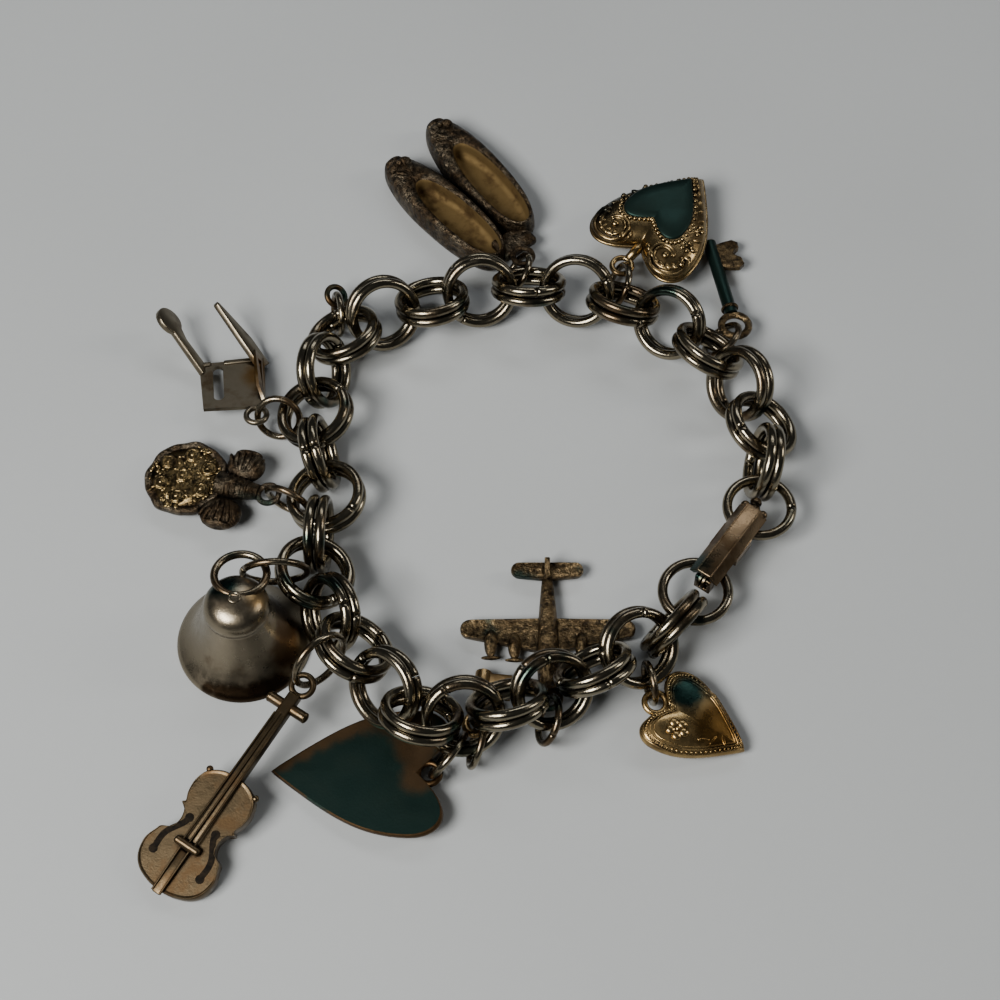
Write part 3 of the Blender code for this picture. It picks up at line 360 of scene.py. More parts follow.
def worn_metal(name, pools=()):
    """A metal from METALS: bright on top, brown in patches, black in hollows from tarnish and painted shade,
    and here and there teal.

    Cast metal is lumpy as well, and only its lumps are rubbed down to the base colour. Each pool is a patch
    of its own, of tarnish or, low on the bell, of painted shade: its centre, its reach and its colour.
    """
    found = bpy.data.materials.get(name)
    if found:
        return found
    shades = colours()
    base, patches, patch_size, teal, rough, cast, hollow = METALS[name]
    if isinstance(base, str):
        base = tuple(getattr(shades, base))
    finish = Finish(name)
    blotch = finish.noise(1.0 / (patch_size * MM), 4.0, 0.6, 0.62 - 0.3 * patches, 0.82 - 0.3 * patches)
    film = finish.noise(1.0 / (1.3 * MM), 3.0, 0.6, 0.35, 0.75)
    fine = finish.noise(1.0 / (0.22 * MM), 3.0, 0.6, 0.2, 0.8)
    # Painted shade: ambient occlusion blackens hollows and gaps between crowded parts, on top of their
    # tarnish
    hollow_tarnish_and_shade = finish.hollows(hollow * MM)
    colour = finish.mixed(blotch * 0.75 + film * 0.25 * patches, base, tuple(shades.brown))
    if cast:
        lumps = finish.noise(1.0 / (0.7 * MM), 4.0, 0.6, 0.25, 0.8)
        colour = finish.mixed(lumps, tuple(shades.black), colour)
        finish.bumped(lumps * 0.8 + fine * 0.35, cast * MM)
    else:
        finish.bumped(fine, 0.006 * MM)
    if teal:
        pool = finish.noise(1.0 / (5.5 * MM), 2.0, 0.5, 0.68 - 0.35 * teal, 0.78 - 0.35 * teal)
        colour = finish.mixed(pool * 0.9, colour, tuple(shades.teal))
    for centre, reach, shade in pools:
        colour = finish.mixed(finish.stain(centre, reach, film), colour, tuple(shade))
    colour = finish.mixed(hollow_tarnish_and_shade, colour, tuple(shades.black))
    finish.fill(finish.shader.inputs["Base Color"], colour)
    finish.fill(finish.shader.inputs["Roughness"], rough + 0.10 * blotch + 0.10 * film + 0.18 * hollow_tarnish_and_shade)
    return finish.material


def clasp_metal(layout):
    """Browned, teal at the hinge and black at the tip."""
    hinge = layout.clasp() @ Vector(mm(0.5, 1.2, 2.6))
    tip = layout.clasp() @ Vector((COVER_LENGTH + 0.4 * MM, 0.0, 3.0 * MM))
    return worn_metal("clasp metal", ((hinge, 1.9 * MM, colours().teal), (tip, 1.1 * MM, colours().black)))


def bell_metal(layout):
    """Satin grey-brown, with a teal crown, brown clouds, and painted shade as a dark foot and dark streaks
    towards the chain.
    """
    place = layout.charm("bell")
    mouth = BELL_MOUTH / 2
    pools = [(place @ Vector((-1.6 * MM, 1.8 * MM, BELL_HEIGHT)), 2.0 * MM, colours().teal),
             (place @ Vector((1.9 * MM, 0.2 * MM, BELL_HEIGHT * 0.88)), 1.5 * MM, colours().gilt)]
    for turn, height, reach in BELL_STAINS_AND_SHADE:
        spot = heading(turn) * mouth * (1.0 - height) + Vector((0.0, 0.0, BELL_HEIGHT * height))
        # Pools low on the foot are painted shade in near black; higher ones are brown tarnish
        pools.append((place @ spot, reach * MM, colours().brown if height > 0.2 else (0.035, 0.022, 0.012)))
    return worn_metal("bell metal", pools)


def chair_metal(layout):
    """Plain sheet metal with a brown stain on its right side."""
    side = layout.charm("chair") @ Vector((EYE_OUTER / 2 + CHAIR_SEAT * 0.6, -CHAIR_SIDE * 0.15, MM))
    return worn_metal("chair metal", ((side, 2.6 * MM, (0.14, 0.080, 0.028)),))


def flower_heart_metal(layout):
    """Gilt, browner towards the tip, with one teal lobe."""
    place = layout.charm("small_heart")
    lobe = place @ Vector((EYE_OUTER / 2 + SMALL_HEART_LENGTH * 0.10, SMALL_HEART_WIDTH * 0.25,
                           SMALL_HEART_THICK / 2))
    tip = place @ Vector((EYE_OUTER / 2 + SMALL_HEART_LENGTH * 0.60, 0.5 * MM, MM))
    return worn_metal("flower heart metal", ((tip, 3.0 * MM, (0.17, 0.092, 0.026)),
                                             (lobe, 2.3 * MM, colours().teal)))


def embossed_metal(layout):
    """Gilt with a darkened left edge."""
    place = layout.charm("embossed_heart")
    start = EYE_OUTER / 2 + BIG_HEART_NECK
    pools = []
    for along, across, reach in ((0.10, 0.46, 2.6), (0.42, 0.40, 2.8), (0.78, 0.20, 2.4)):
        spot = Vector((start + BIG_HEART_LENGTH * along, BIG_HEART_WIDTH * across, 0.0))
        pools.append((place @ spot, reach * MM, (0.022, 0.024, 0.020)))
    return worn_metal("embossed charm metal", pools)


def teal_metal(name="teal face", stains=()):
    """A smooth face that has turned dark blue-green, browner round the stains."""
    found = bpy.data.materials.get(name)
    if found:
        return found
    shades = colours()
    finish = Finish(name, 0.9)
    cloud = finish.noise(1.0 / (4.0 * MM), 3.0, 0.5, 0.3, 0.8)
    film = finish.noise(1.0 / (1.3 * MM), 3.0, 0.6, 0.35, 0.75)
    colour = finish.mixed(cloud * 0.6, tuple(shades.teal), (0.011, 0.017, 0.013))
    for centre, reach in stains:
        colour = finish.mixed(finish.stain(centre, reach, film) * 0.9, colour, tuple(shades.brown))
    finish.fill(finish.shader.inputs["Base Color"], colour)
    finish.fill(finish.shader.inputs["Roughness"], 0.40 + 0.12 * cloud)
    finish.bumped(finish.noise(1.0 / (0.25 * MM)), 0.004 * MM)
    return finish.material


def painted_slot_shade():
    """Painted shade that stands for the dark inside of a narrow cut."""
    found = bpy.data.materials.get("slot black")
    if found:
        return found
    finish = Finish("slot black", 0.0)
    finish.shader.inputs["Specular IOR Level"].default_value = 0.05
    # The painted shade is mottled darker and lighter at random
    shade_mottle = finish.noise(1.0 / (0.6 * MM), 3.0, 0.6, 0.3, 0.8)
    colour = finish.mixed(shade_mottle, (0.006, 0.005, 0.004), (0.022, 0.016, 0.010))
    finish.fill(finish.shader.inputs["Base Color"], colour)
    finish.fill(finish.shader.inputs["Roughness"], 0.7 + 0.2 * shade_mottle)
    return finish.material


def frame_matrix(origin, along, across):
    """A placement whose X runs along, whose Y lies nearest to across, at origin."""
    x_axis = Vector(along).normalized()
    z_axis = x_axis.cross(Vector(across)).normalized()
    y_axis = z_axis.cross(x_axis)
    turn = Matrix((x_axis, y_axis, z_axis)).transposed()
    return Matrix.Translation(origin) @ turn.to_4x4()


def heading(angle, slope=0.0):
    """A unit vector at an angle in the table's plane, going down by slope; both in degrees."""
    turn, fall = math.radians(angle), math.radians(slope)
    return Vector((math.cos(fall) * math.cos(turn), math.cos(fall) * math.sin(turn), -math.sin(fall)))


def curve_point(before, start, end, after, share):
    """A point on the smooth curve between start and end."""
    square, cube = share ** 2, share ** 3
    return (start * 2 + (end - before) * share + (before * 2 - start * 5 + end * 4 - after) * square
            + (start * 3 - before - end * 3 + after) * cube) / 2


class Link:
    """Where one ring or pair of rings of the chain lies."""

    def __init__(self, centre, along, lean, height, outer):
        side = Vector((along.y, -along.x, 0.0))
        turn = math.radians(lean)
        self.along = along
        self.across = side * math.cos(turn) + Vector((0.0, 0.0, math.sin(turn)))
        self.centre = Vector((centre.x, centre.y, height))
        self.reach = (outer - WIRE) / 2

    def matrix(self):
        return frame_matrix(self.centre, self.along, self.across)

    def point(self, around):
        turn = math.radians(around)
        return self.centre + (self.along * math.cos(turn) + self.across * math.sin(turn)) * self.reach

    def run(self, around):
        turn = math.radians(around)
        return self.across * math.cos(turn) - self.along * math.sin(turn)


class Layout:
    """Where every piece lies, worked out as the part does it and moved to where the frame holds it."""

    def __init__(self):
        self.links = self.chain()
        self.rings = {}
        self.charms = {}
        self.shift = Vector((0, 0, 0))
        for name, row in HANGINGS.items():
            self.hang(name, *row)
        self.bell()
        low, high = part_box("link_05")
        self.shift = (Vector(low) + Vector(high)) / 2 - self.links[5].centre

    def chain(self):
        points = [Vector(point) * MM for point in ROUTE]
        points = [points[0] * 2 - points[1]] + points + [points[-1] * 2 - points[-2]]
        centres = []
        for index in range(1, len(ROUTE)):
            centres.append(points[index])
            if index < len(ROUTE) - 1:
                centres.append(curve_point(*points[index - 1:index + 3], 0.5))
        centres.append(points[-2])
        last = len(centres) - 1
        links = []
        for index, centre in enumerate(centres):
            along = (centres[min(index + 1, last)] - centres[max(index - 1, 0)]).normalized().to_3d()
            if index in (0, last):
                links.append(Link(centre, along, 0.0, END_HEIGHT, END_OUTER))
                continue
            lean, raised = LINKS[index - 1]
            turn = math.radians(lean)
            steep, flat = abs(math.sin(turn)), abs(math.cos(turn))
            lowest = (LINK_OUTER - WIRE) / 2 * steep + PAIR_STEP / 2 * flat + WIRE / 2
            links.append(Link(centre, along, lean, max(LINK_HANG, lowest) + raised * MM, LINK_OUTER))
        return links

    def jump(self, name, start, run, end, outer, twist):
        along = (end - start).normalized()
        inner = outer / 2 - JUMP_WIRE
        centre = start + along * (inner - (WIRE + PAIR_STEP) / 2 - SEAT_GAP)
        normal = (run - along * run.dot(along)).normalized()
        normal.rotate(Matrix.Rotation(math.radians(twist), 3, along))
        self.rings[name] = (frame_matrix(centre, along, normal.cross(along)), outer)
        return centre + along * (inner - EYE_WIRE / 2 - SEAT_GAP)

    def hang(self, name, link, around, ring_way, ring_fall, outer, twist, way, far, rest):
        start = self.links[link].point(around)
        towards = heading(ring_way, ring_fall)
        hang = self.jump(name, start, self.links[link].run(around), start + towards, outer * MM, twist)
        fall = math.degrees(math.asin((hang.z - rest * MM) / (far * MM))) if far else 0.0
        turn = frame_matrix(Vector((0, 0, 0)), heading(way, fall), heading(way + 90.0))
        normal = turn.to_3x3() @ Vector((0, 0, 1))
        flat = (towards - normal * towards.dot(normal)).normalized()
        self.charms[name] = Matrix.Translation(hang + flat * (EYE_OUTER - EYE_WIRE) / 2) @ turn

    def bell(self):
        place = Matrix.Translation((BELL_PLACE[0] * MM, BELL_PLACE[1] * MM, 0.0))
        self.charms["bell"] = place
        reach, turn = (BELL_BAIL - BELL_BAIL_WIRE) / 2, math.radians(BELL_RIM)
        rim = place @ bail_matrix() @ Vector((reach * math.cos(turn), reach * math.sin(turn), 0.0))
        start = self.links[BELL_LINK].point(BELL_AROUND)
        outer = (rim - start).length + (BELL_BAIL_WIRE + WIRE + PAIR_STEP) / 2 + 2 * JUMP_WIRE + 2 * SEAT_GAP
        self.jump("bell", start, self.links[BELL_LINK].run(BELL_AROUND), rim, outer, BELL_TWIST)

    def settled(self, matrix):
        return Matrix.Translation(self.shift) @ matrix

    def charm(self, name):
        return self.settled(self.charms[name])

    def eye_height(self, name):
        """The height of a charm's eye above what the flat charms lie on."""
        return self.charms[name].translation.z

    def clasp(self):
        """The clasp's frame: X from the hinge ring to the clasp ring, Z up, origin under the pin."""
        hinge_ring, clasp_ring = self.links[-1], self.links[0]
        along = clasp_ring.centre - hinge_ring.centre
        along.z = 0.0
        pin = hinge_ring.centre + along.normalized() * (hinge_ring.reach - HINGE_RING_SEAT)
        pin.z = CLASP_FLOOR
        return self.settled(frame_matrix(pin, along, Vector((-along.y, along.x, 0.0))))

    def grip(self):
        """From the pin to the wire of the ring at the clasp's open end."""
        first, last = self.links[0], self.links[-1]
        return HINGE_RING_SEAT + (first.centre - last.centre).length - first.reach - last.reach


def bail_matrix():
    along = heading(BELL_BAIL_HEADING, BELL_BAIL_SLOPE)
    centre = Vector((0, 0, BELL_HEIGHT - BELL_WALL / 2)) + along * (BELL_BAIL / 2)
    return frame_matrix(centre, along, heading(BELL_BAIL_HEADING + 90.0))


class Clay:
    """A bmesh under work, with the shapes that the pieces are made of."""

    def __init__(self):
        self.bm = bmesh.new()
        self.slot = 0

    def kept(self, verts, matrix=None):
        """Place new corners and give their faces the current finish."""
        if matrix is not None:
            bmesh.ops.transform(self.bm, matrix=matrix, verts=verts)
        for face in {face for corner in verts for face in corner.link_faces}:
            face.smooth = True
            face.material_index = self.slot
        return verts

    def grown(self, face, first=False):
        """Extrude a face and return the new one; the old one stays only as the first end."""
        made = bmesh.ops.extrude_face_region(self.bm, geom=[face])["geom"]
        if not first:
            bmesh.ops.delete(self.bm, geom=[face], context="FACES_ONLY")
        return next(item for item in made if isinstance(item, bmesh.types.BMFace))

    def ring(self, outer, thick, matrix=None, sides=56, wire_sides=14, seam=0.0, start=0.0, flat=1.0):
        """A ring of round wire in the XY plane, cut open by a narrow seam if asked."""
        reach = (outer - thick) / 2
        upright = Matrix.Translation((reach, 0, 0)) @ Matrix.Rotation(math.pi / 2, 4, "X")
        circle = bmesh.ops.create_circle(self.bm, segments=wire_sides, radius=thick / 2,
                                         matrix=upright @ Matrix.Diagonal((1, flat, 1, 1)))["verts"]
        edges = list({edge for corner in circle for edge in corner.link_edges})
        angle = 2 * math.pi - (seam / reach if seam else 0.0)
        spun = bmesh.ops.spin(self.bm, geom=circle + edges, cent=(0, 0, 0), axis=(0, 0, 1), dvec=(0, 0, 0),
                              angle=angle, steps=sides, use_merge=not seam)
        verts = self.joined(circle)
        if seam:
            ends = [edge for corner in verts for edge in corner.link_edges if len(edge.link_faces) == 1]
            bmesh.ops.holes_fill(self.bm, edges=list(set(ends)), sides=0)
        turned = Matrix.Rotation(start, 4, "Z")
        self.faced(verts)
        return self.kept(verts, (matrix or Matrix()) @ turned)

    def joined(self, start):
        """Every corner that is joined to the starting ones."""
        found = set(start)
        front = list(start)
        while front:
            corner = front.pop()
            for edge in corner.link_edges:
                other = edge.other_vert(corner)
                if other not in found:
                    found.add(other)
                    front.append(other)
        return list(found)

    def faced(self, verts):
        faces = list({face for corner in verts for face in corner.link_faces})
        bmesh.ops.recalc_face_normals(self.bm, faces=faces)

    def turned(self, profile, matrix=None, sides=72):
        """A closed profile of (radius, height) corners spun about Z."""
        corners = [self.bm.verts.new((radius, 0.0, height)) for radius, height in profile]
        edges = [self.bm.edges.new(pair) for pair in zip(corners, corners[1:] + corners[:1])]
        bmesh.ops.spin(self.bm, geom=corners + edges, cent=(0, 0, 0), axis=(0, 0, 1), dvec=(0, 0, 0),
                       angle=2 * math.pi, steps=sides, use_merge=True)
        verts = self.joined(corners)
        bmesh.ops.remove_doubles(self.bm, verts=verts, dist=0.002 * MM)
        verts = self.joined([corner for corner in corners if corner.is_valid])
        self.faced(verts)
        return self.kept(verts, matrix)

    def pebble(self, centre, size, turn=None, columns=16, rows=10):
        """A round lump with three widths."""
        place = Matrix.Translation(centre) @ (turn or Matrix()) @ Matrix.Diagonal((*size, 1))
        made = bmesh.ops.create_uvsphere(self.bm, u_segments=columns, v_segments=rows, radius=0.5,
                                         matrix=place)
        return self.kept(made["verts"])

    def bar(self, start, end, radius, end_radius=None, sides=16, squash=1.0):
        """A round bar from start to end."""
        start, end = Vector(start), Vector(end)
        span = end - start
        turn = span.to_track_quat("Z", "Y").to_matrix().to_4x4() @ Matrix.Diagonal((1, squash, 1, 1))
        made = bmesh.ops.create_cone(self.bm, cap_ends=True, segments=sides, radius1=radius,
                                     radius2=radius if end_radius is None else end_radius,
                                     depth=span.length, matrix=Matrix.Translation((start + end) / 2) @ turn)
        return self.kept(made["verts"])

    def box(self, low, high, edge=0.1 * MM, turn=None):
        """A box between two corners with its edges rounded."""
        size = Vector(high) - Vector(low)
        middle = (Vector(high) + Vector(low)) / 2
        place = Matrix.Translation(middle) @ Matrix.Diagonal(size).to_4x4()
        made = bmesh.ops.create_cube(self.bm, size=1.0, matrix=(turn or Matrix()) @ place)["verts"]
        return self.rounded(made, min(edge, min(size) * 0.4))

    def rounded(self, verts, width, segments=3):
        """Round every edge of a solid."""
        edges = list({edge for corner in verts for edge in corner.link_edges})
        made = bmesh.ops.bevel(self.bm, geom=edges, offset=width, segments=segments,
                               affect="EDGES", profile=0.5, material=-1)
        return self.kept(list({corner for face in made["faces"] for corner in face.verts}))

    def stacked(self, outline, layers, matrix=None, centre=(0.0, 0.0)):
        """A solid that grows from layer to layer of an outline; each layer is (share, height)."""
        share, height = layers[0]
        corners = [self.bm.verts.new(self.layer_point(point, share, height, centre)) for point in outline]
        face = self.bm.faces.new(corners)
        everything = list(corners)
        for index, (share, height) in enumerate(layers[1:]):
            face = self.grown(face, index == 0)
            for corner, point in zip(self.in_order(face, outline, corners), outline):
                corner.co = self.layer_point(point, share, height, centre)
            corners = self.in_order(face, outline, corners)
            everything += corners
        self.faced(everything)
        return self.kept(everything, matrix)

    @staticmethod
    def layer_point(point, share, height, centre):
        """An outline's point drawn in towards the centre; a share may differ along and across."""
        along, across = share if isinstance(share, tuple) else (share, share)
        return (centre[0] + (point[0] - centre[0]) * along,
                centre[1] + (point[1] - centre[1]) * across, height)

    @staticmethod
    def in_order(face, outline, corners):
        """The face's corners in the outline's order, found through the edges to the layer below."""
        below = {corner: index for index, corner in enumerate(corners)}
        ordered = [None] * len(outline)
        for corner in face.verts:
            for edge in corner.link_edges:
                index = below.get(edge.other_vert(corner))
                if index is not None:
                    ordered[index] = corner
        return ordered if None not in ordered else list(face.verts)

    def pierced(self, outline, hole, low, high, matrix=None):
        """A flat plate between two heights with one hole through it."""
        edges = []
        for points in (outline, hole):
            corners = [self.bm.verts.new((x, y, low)) for x, y in points]
            edges += [self.bm.edges.new(pair) for pair in zip(corners, corners[1:] + corners[:1])]
        faces = bmesh.ops.bridge_loops(self.bm, edges=edges)["faces"]
        grown = bmesh.ops.extrude_face_region(self.bm, geom=faces)["geom"]
        top = [item for item in grown if isinstance(item, bmesh.types.BMVert)]
        bmesh.ops.translate(self.bm, verts=top, vec=(0.0, 0.0, high - low))
        verts = self.joined(top)
        self.faced(verts)
        return self.kept(verts, matrix)

    def tube(self, points, radius, sides=10, end_radius=None, flat=1.0, up=Vector((0, 0, 1))):
        """A round wire along points, thinning towards its end if asked."""
        points = [Vector(point) for point in points]
        last = len(points) - 1
        circle = None
        everything = []
        for index, point in enumerate(points):
            along = (points[min(index + 1, last)] - points[max(index - 1, 0)]).normalized()
            side = along.cross(up).normalized()
            place = Matrix((side, along.cross(side) * -1, along)).transposed().to_4x4()
            place.translation = point
            wide = radius + ((end_radius if end_radius is not None else radius) - radius) * index / last
            if circle is None:
                circle = bmesh.ops.create_circle(self.bm, cap_ends=True, segments=sides, radius=1.0)["verts"]
                face = next(iter(circle[0].link_faces))
                held = [corner.co.copy() for corner in face.verts]
                ring = list(face.verts)
            else:
                face = self.grown(face, index == 1)
                ring = self.in_order(face, ring, ring)
            for corner, local in zip(ring, held):
                corner.co = place @ Vector((local.x * wide, local.y * wide * flat, 0.0))
            everything += ring
        self.faced(everything)
        return self.kept(everything)

    def piece(self, name, metals, matrix, nodes, body=BODY, sharp=None):
        """Turn the clay into a piece that stands for the nodes; a metal is a material or a name in METALS."""
        bmesh.ops.transform(self.bm, matrix=matrix, verts=self.bm.verts)
        mesh = bpy.data.meshes.new(name)
        self.bm.to_mesh(mesh)
        self.bm.free()
        if sharp:
            mesh.set_sharp_from_angle(angle=math.radians(sharp))
        for metal in metals:
            mesh.materials.append(worn_metal(metal) if isinstance(metal, str) else metal)
        made = bpy.data.objects.new(name, mesh)
        bpy.context.scene.collection.objects.link(made)
        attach(made, body)
        slot = next(row["material_slot"] for row in frame["record"]["subparts"] if row["node"] == nodes[0])
        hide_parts(*nodes)
        return made


def eye(clay, outer=EYE_OUTER, thick=EYE_WIRE):
    """The small ring that a charm hangs by."""
    clay.ring(outer, thick, sides=36, wire_sides=12)


def stalk(clay, start):
    """The short bar from the eye into a heart."""
    clay.bar((EYE_REACH, 0, 0), (start + 1.0 * MM, 0, 0), EYE_WIRE * 0.8, EYE_WIRE)


class Heart:
    """A heart with its cleft at start and its tip along +X; the lobes reach back past the cleft."""

    def __init__(self, length, width, thick, start):
        self.length, self.width, self.thick, self.start = length, width, thick, start
        self.centre = (start + length * 0.36, 0.0)

    def outline(self, corners=96):
        outline = []
        for step in range(corners):
            turn = 2 * math.pi * step / corners
            rise = 13 * math.cos(turn) - 5 * math.cos(2 * turn) - 2 * math.cos(3 * turn) - math.cos(4 * turn)
            reach = (5 - rise) / 22
            if reach < 0:
                reach *= 0.6
            side = math.copysign(abs(math.sin(turn)) ** 1.8, math.sin(turn))
            outline.append((self.start + self.length * reach, self.width / 2 * side))
        return outline

    def drawn_in(self, share, corners):
        """The outline drawn in towards the centre."""
        middle = self.centre[0]
        return [(middle + (x - middle) * share, y * share) for x, y in self.outline(corners)]

    def on_top(self, x, y, sunk=1.0):
        """The place on the puffed face above a point, near enough to set ornaments on it."""
        middle = self.centre[0]
        turn = math.atan2(y, x - middle)
        edge = 0.0
        for point in self.outline(48):
            if abs(math.atan2(point[1], point[0] - middle) - turn) < 0.14:
                edge = max(edge, math.hypot(point[0] - middle, point[1]))
        share = min(math.hypot(x - middle, y) / max(edge, 0.1 * MM), 0.99)
        return (x, y, self.thick / 2 * math.sqrt(max(1.0 - share ** 3, 0.02)) * sunk)

    def layers(self, steps=9):
        """The layers of a heart that swells from its rim to both faces."""
        layers = []
        for step in range(-steps, steps + 1):
            height = math.sin(math.pi / 2 * step / steps)
            share = max(1.0 - abs(height) ** 2.2, 0.0) ** (1 / 3)
            layers.append((max(share, 0.06), self.thick / 2 * height))
        return layers


class StageOperator(bpy.types.Operator):
    """Set up the table, the room, the lights and the camera"""

    bl_idname = "bracelet.stage"
    bl_label = "Stage"

    def execute(self, context):
        layout = Layout()
        values = light()
        self.table(layout)
        self.room(context, values)
        camera = bpy.data.cameras.new("camera")
        camera.lens = values.lens
        camera.sensor_width = 36.0
        camera.clip_start = 0.01
        seen = bpy.data.objects.new("camera", camera)
        context.scene.collection.objects.link(seen)
        back = values.distance * math.cos(values.elevation)
        up = values.distance * math.sin(values.elevation)
        seen.location = layout.shift + Vector((0.0, -back, up))
        seen.rotation_euler = (math.pi / 2 - values.elevation, 0.0, 0.0)
        context.scene.camera = seen
        return {"FINISHED"}

    def table(self, layout):
        bm = bmesh.new()
        bmesh.ops.create_grid(bm, x_segments=1, y_segments=1, size=1.5)
        mesh = bpy.data.meshes.new("table_top")
        bm.to_mesh(mesh)
        bm.free()
        floor = bpy.data.objects.new("table_top", mesh)
        bpy.context.scene.collection.objects.link(floor)
        finish = Finish("table", 0.0)
        cloud = finish.noise(1.0 / 0.05, 2.0, 0.4, 0.2, 0.8)
        speck = finish.noise(1.0 / (1.5 * MM), 3.0, 0.6, 0.3, 0.9)
        base = tuple(colours().table)
        tint = tuple(shade * 0.93 for shade in base)
        finish.fill(finish.shader.inputs["Base Color"], finish.mixed(cloud * 0.7 + speck * 0.2, base, tint))
        finish.fill(finish.shader.inputs["Roughness"], 0.42 + 0.1 * cloud)
        mesh.materials.append(finish.material)

    def room(self, context, values):
        world = bpy.data.worlds.new("room")
        world.use_nodes = True
        tree = world.node_tree
        back = tree.nodes["Background"]
        back.inputs["Color"].default_value = (0.50, 0.54, 0.58, 1.0)
        back.inputs["Strength"].default_value = values.room
        context.scene.world = world
        for name, place, size, share, shade in LAMPS:
            lamp = bpy.data.lights.new(name, "AREA")
            lamp.shape = "RECTANGLE"
            lamp.size, lamp.size_y = size
            lamp.energy = values.window * share
            lamp.color = shade
            made = bpy.data.objects.new(name, lamp)
            context.scene.collection.objects.link(made)
            made.location = place
            made.rotation_euler = (-Vector(place)).to_track_quat("-Z", "Y").to_euler()


class ChainOperator(bpy.types.Operator):
    """Make the ring pairs and the two end rings"""

    bl_idname = "bracelet.chain"
    bl_label = "Chain"

    def execute(self, context):
        layout = Layout()
        last = len(layout.links) - 1
        for index, link in enumerate(layout.links):
            place = layout.settled(link.matrix())
            clay = Clay()
            luck = random.Random(index * 7 + 3)
            if index in (0, last):
                clay.ring(END_OUTER, WIRE * 0.97, seam=sizes().seam, start=luck.uniform(0, 6.28))
                node = "end_ring_clasp_side" if index == 0 else "end_ring_hinge_side"
                clay.piece(node.replace("end_ring", "single_ring"), ["chain metal"], place, [node])
                continue
            for side in (-1, 1):
                lean = Matrix.Rotation(side * sizes().splay * luck.uniform(0.2, 1.0), 4,
                                       Vector((luck.uniform(-1, 1), luck.uniform(-1, 1), 0)).normalized())
                slide = Vector((luck.uniform(-0.1, 0.1) * MM, luck.uniform(-0.1, 0.1) * MM, 0))
                spot = Matrix.Translation(slide + Vector((0, 0, side * PAIR_STEP * 0.5)))
                clay.ring(LINK_OUTER - 0.08 * MM, sizes().wire, spot @ lean, seam=sizes().seam,
                          start=luck.uniform(0, 6.28))
            clay.piece(f"ring_pair_{index:02d}", ["chain metal"], place, [f"link_{index:02d}"])
        return {"FINISHED"}


class JumpRingsOperator(bpy.types.Operator):
    """Make the jump ring of each charm"""

    bl_idname = "bracelet.jump_rings"
    bl_label = "Jump rings"

    def execute(self, context):
        layout = Layout()
        for index, (name, (matrix, outer)) in enumerate(layout.rings.items()):
            clay = Clay()
            clay.ring(outer, JUMP_WIRE, sides=44, seam=sizes().seam, start=0.9 + index)
            clay.piece(f"loop_of_{name}", ["jump ring metal"], layout.settled(matrix),
                       [f"jump_ring_{name}"])
        return {"FINISHED"}


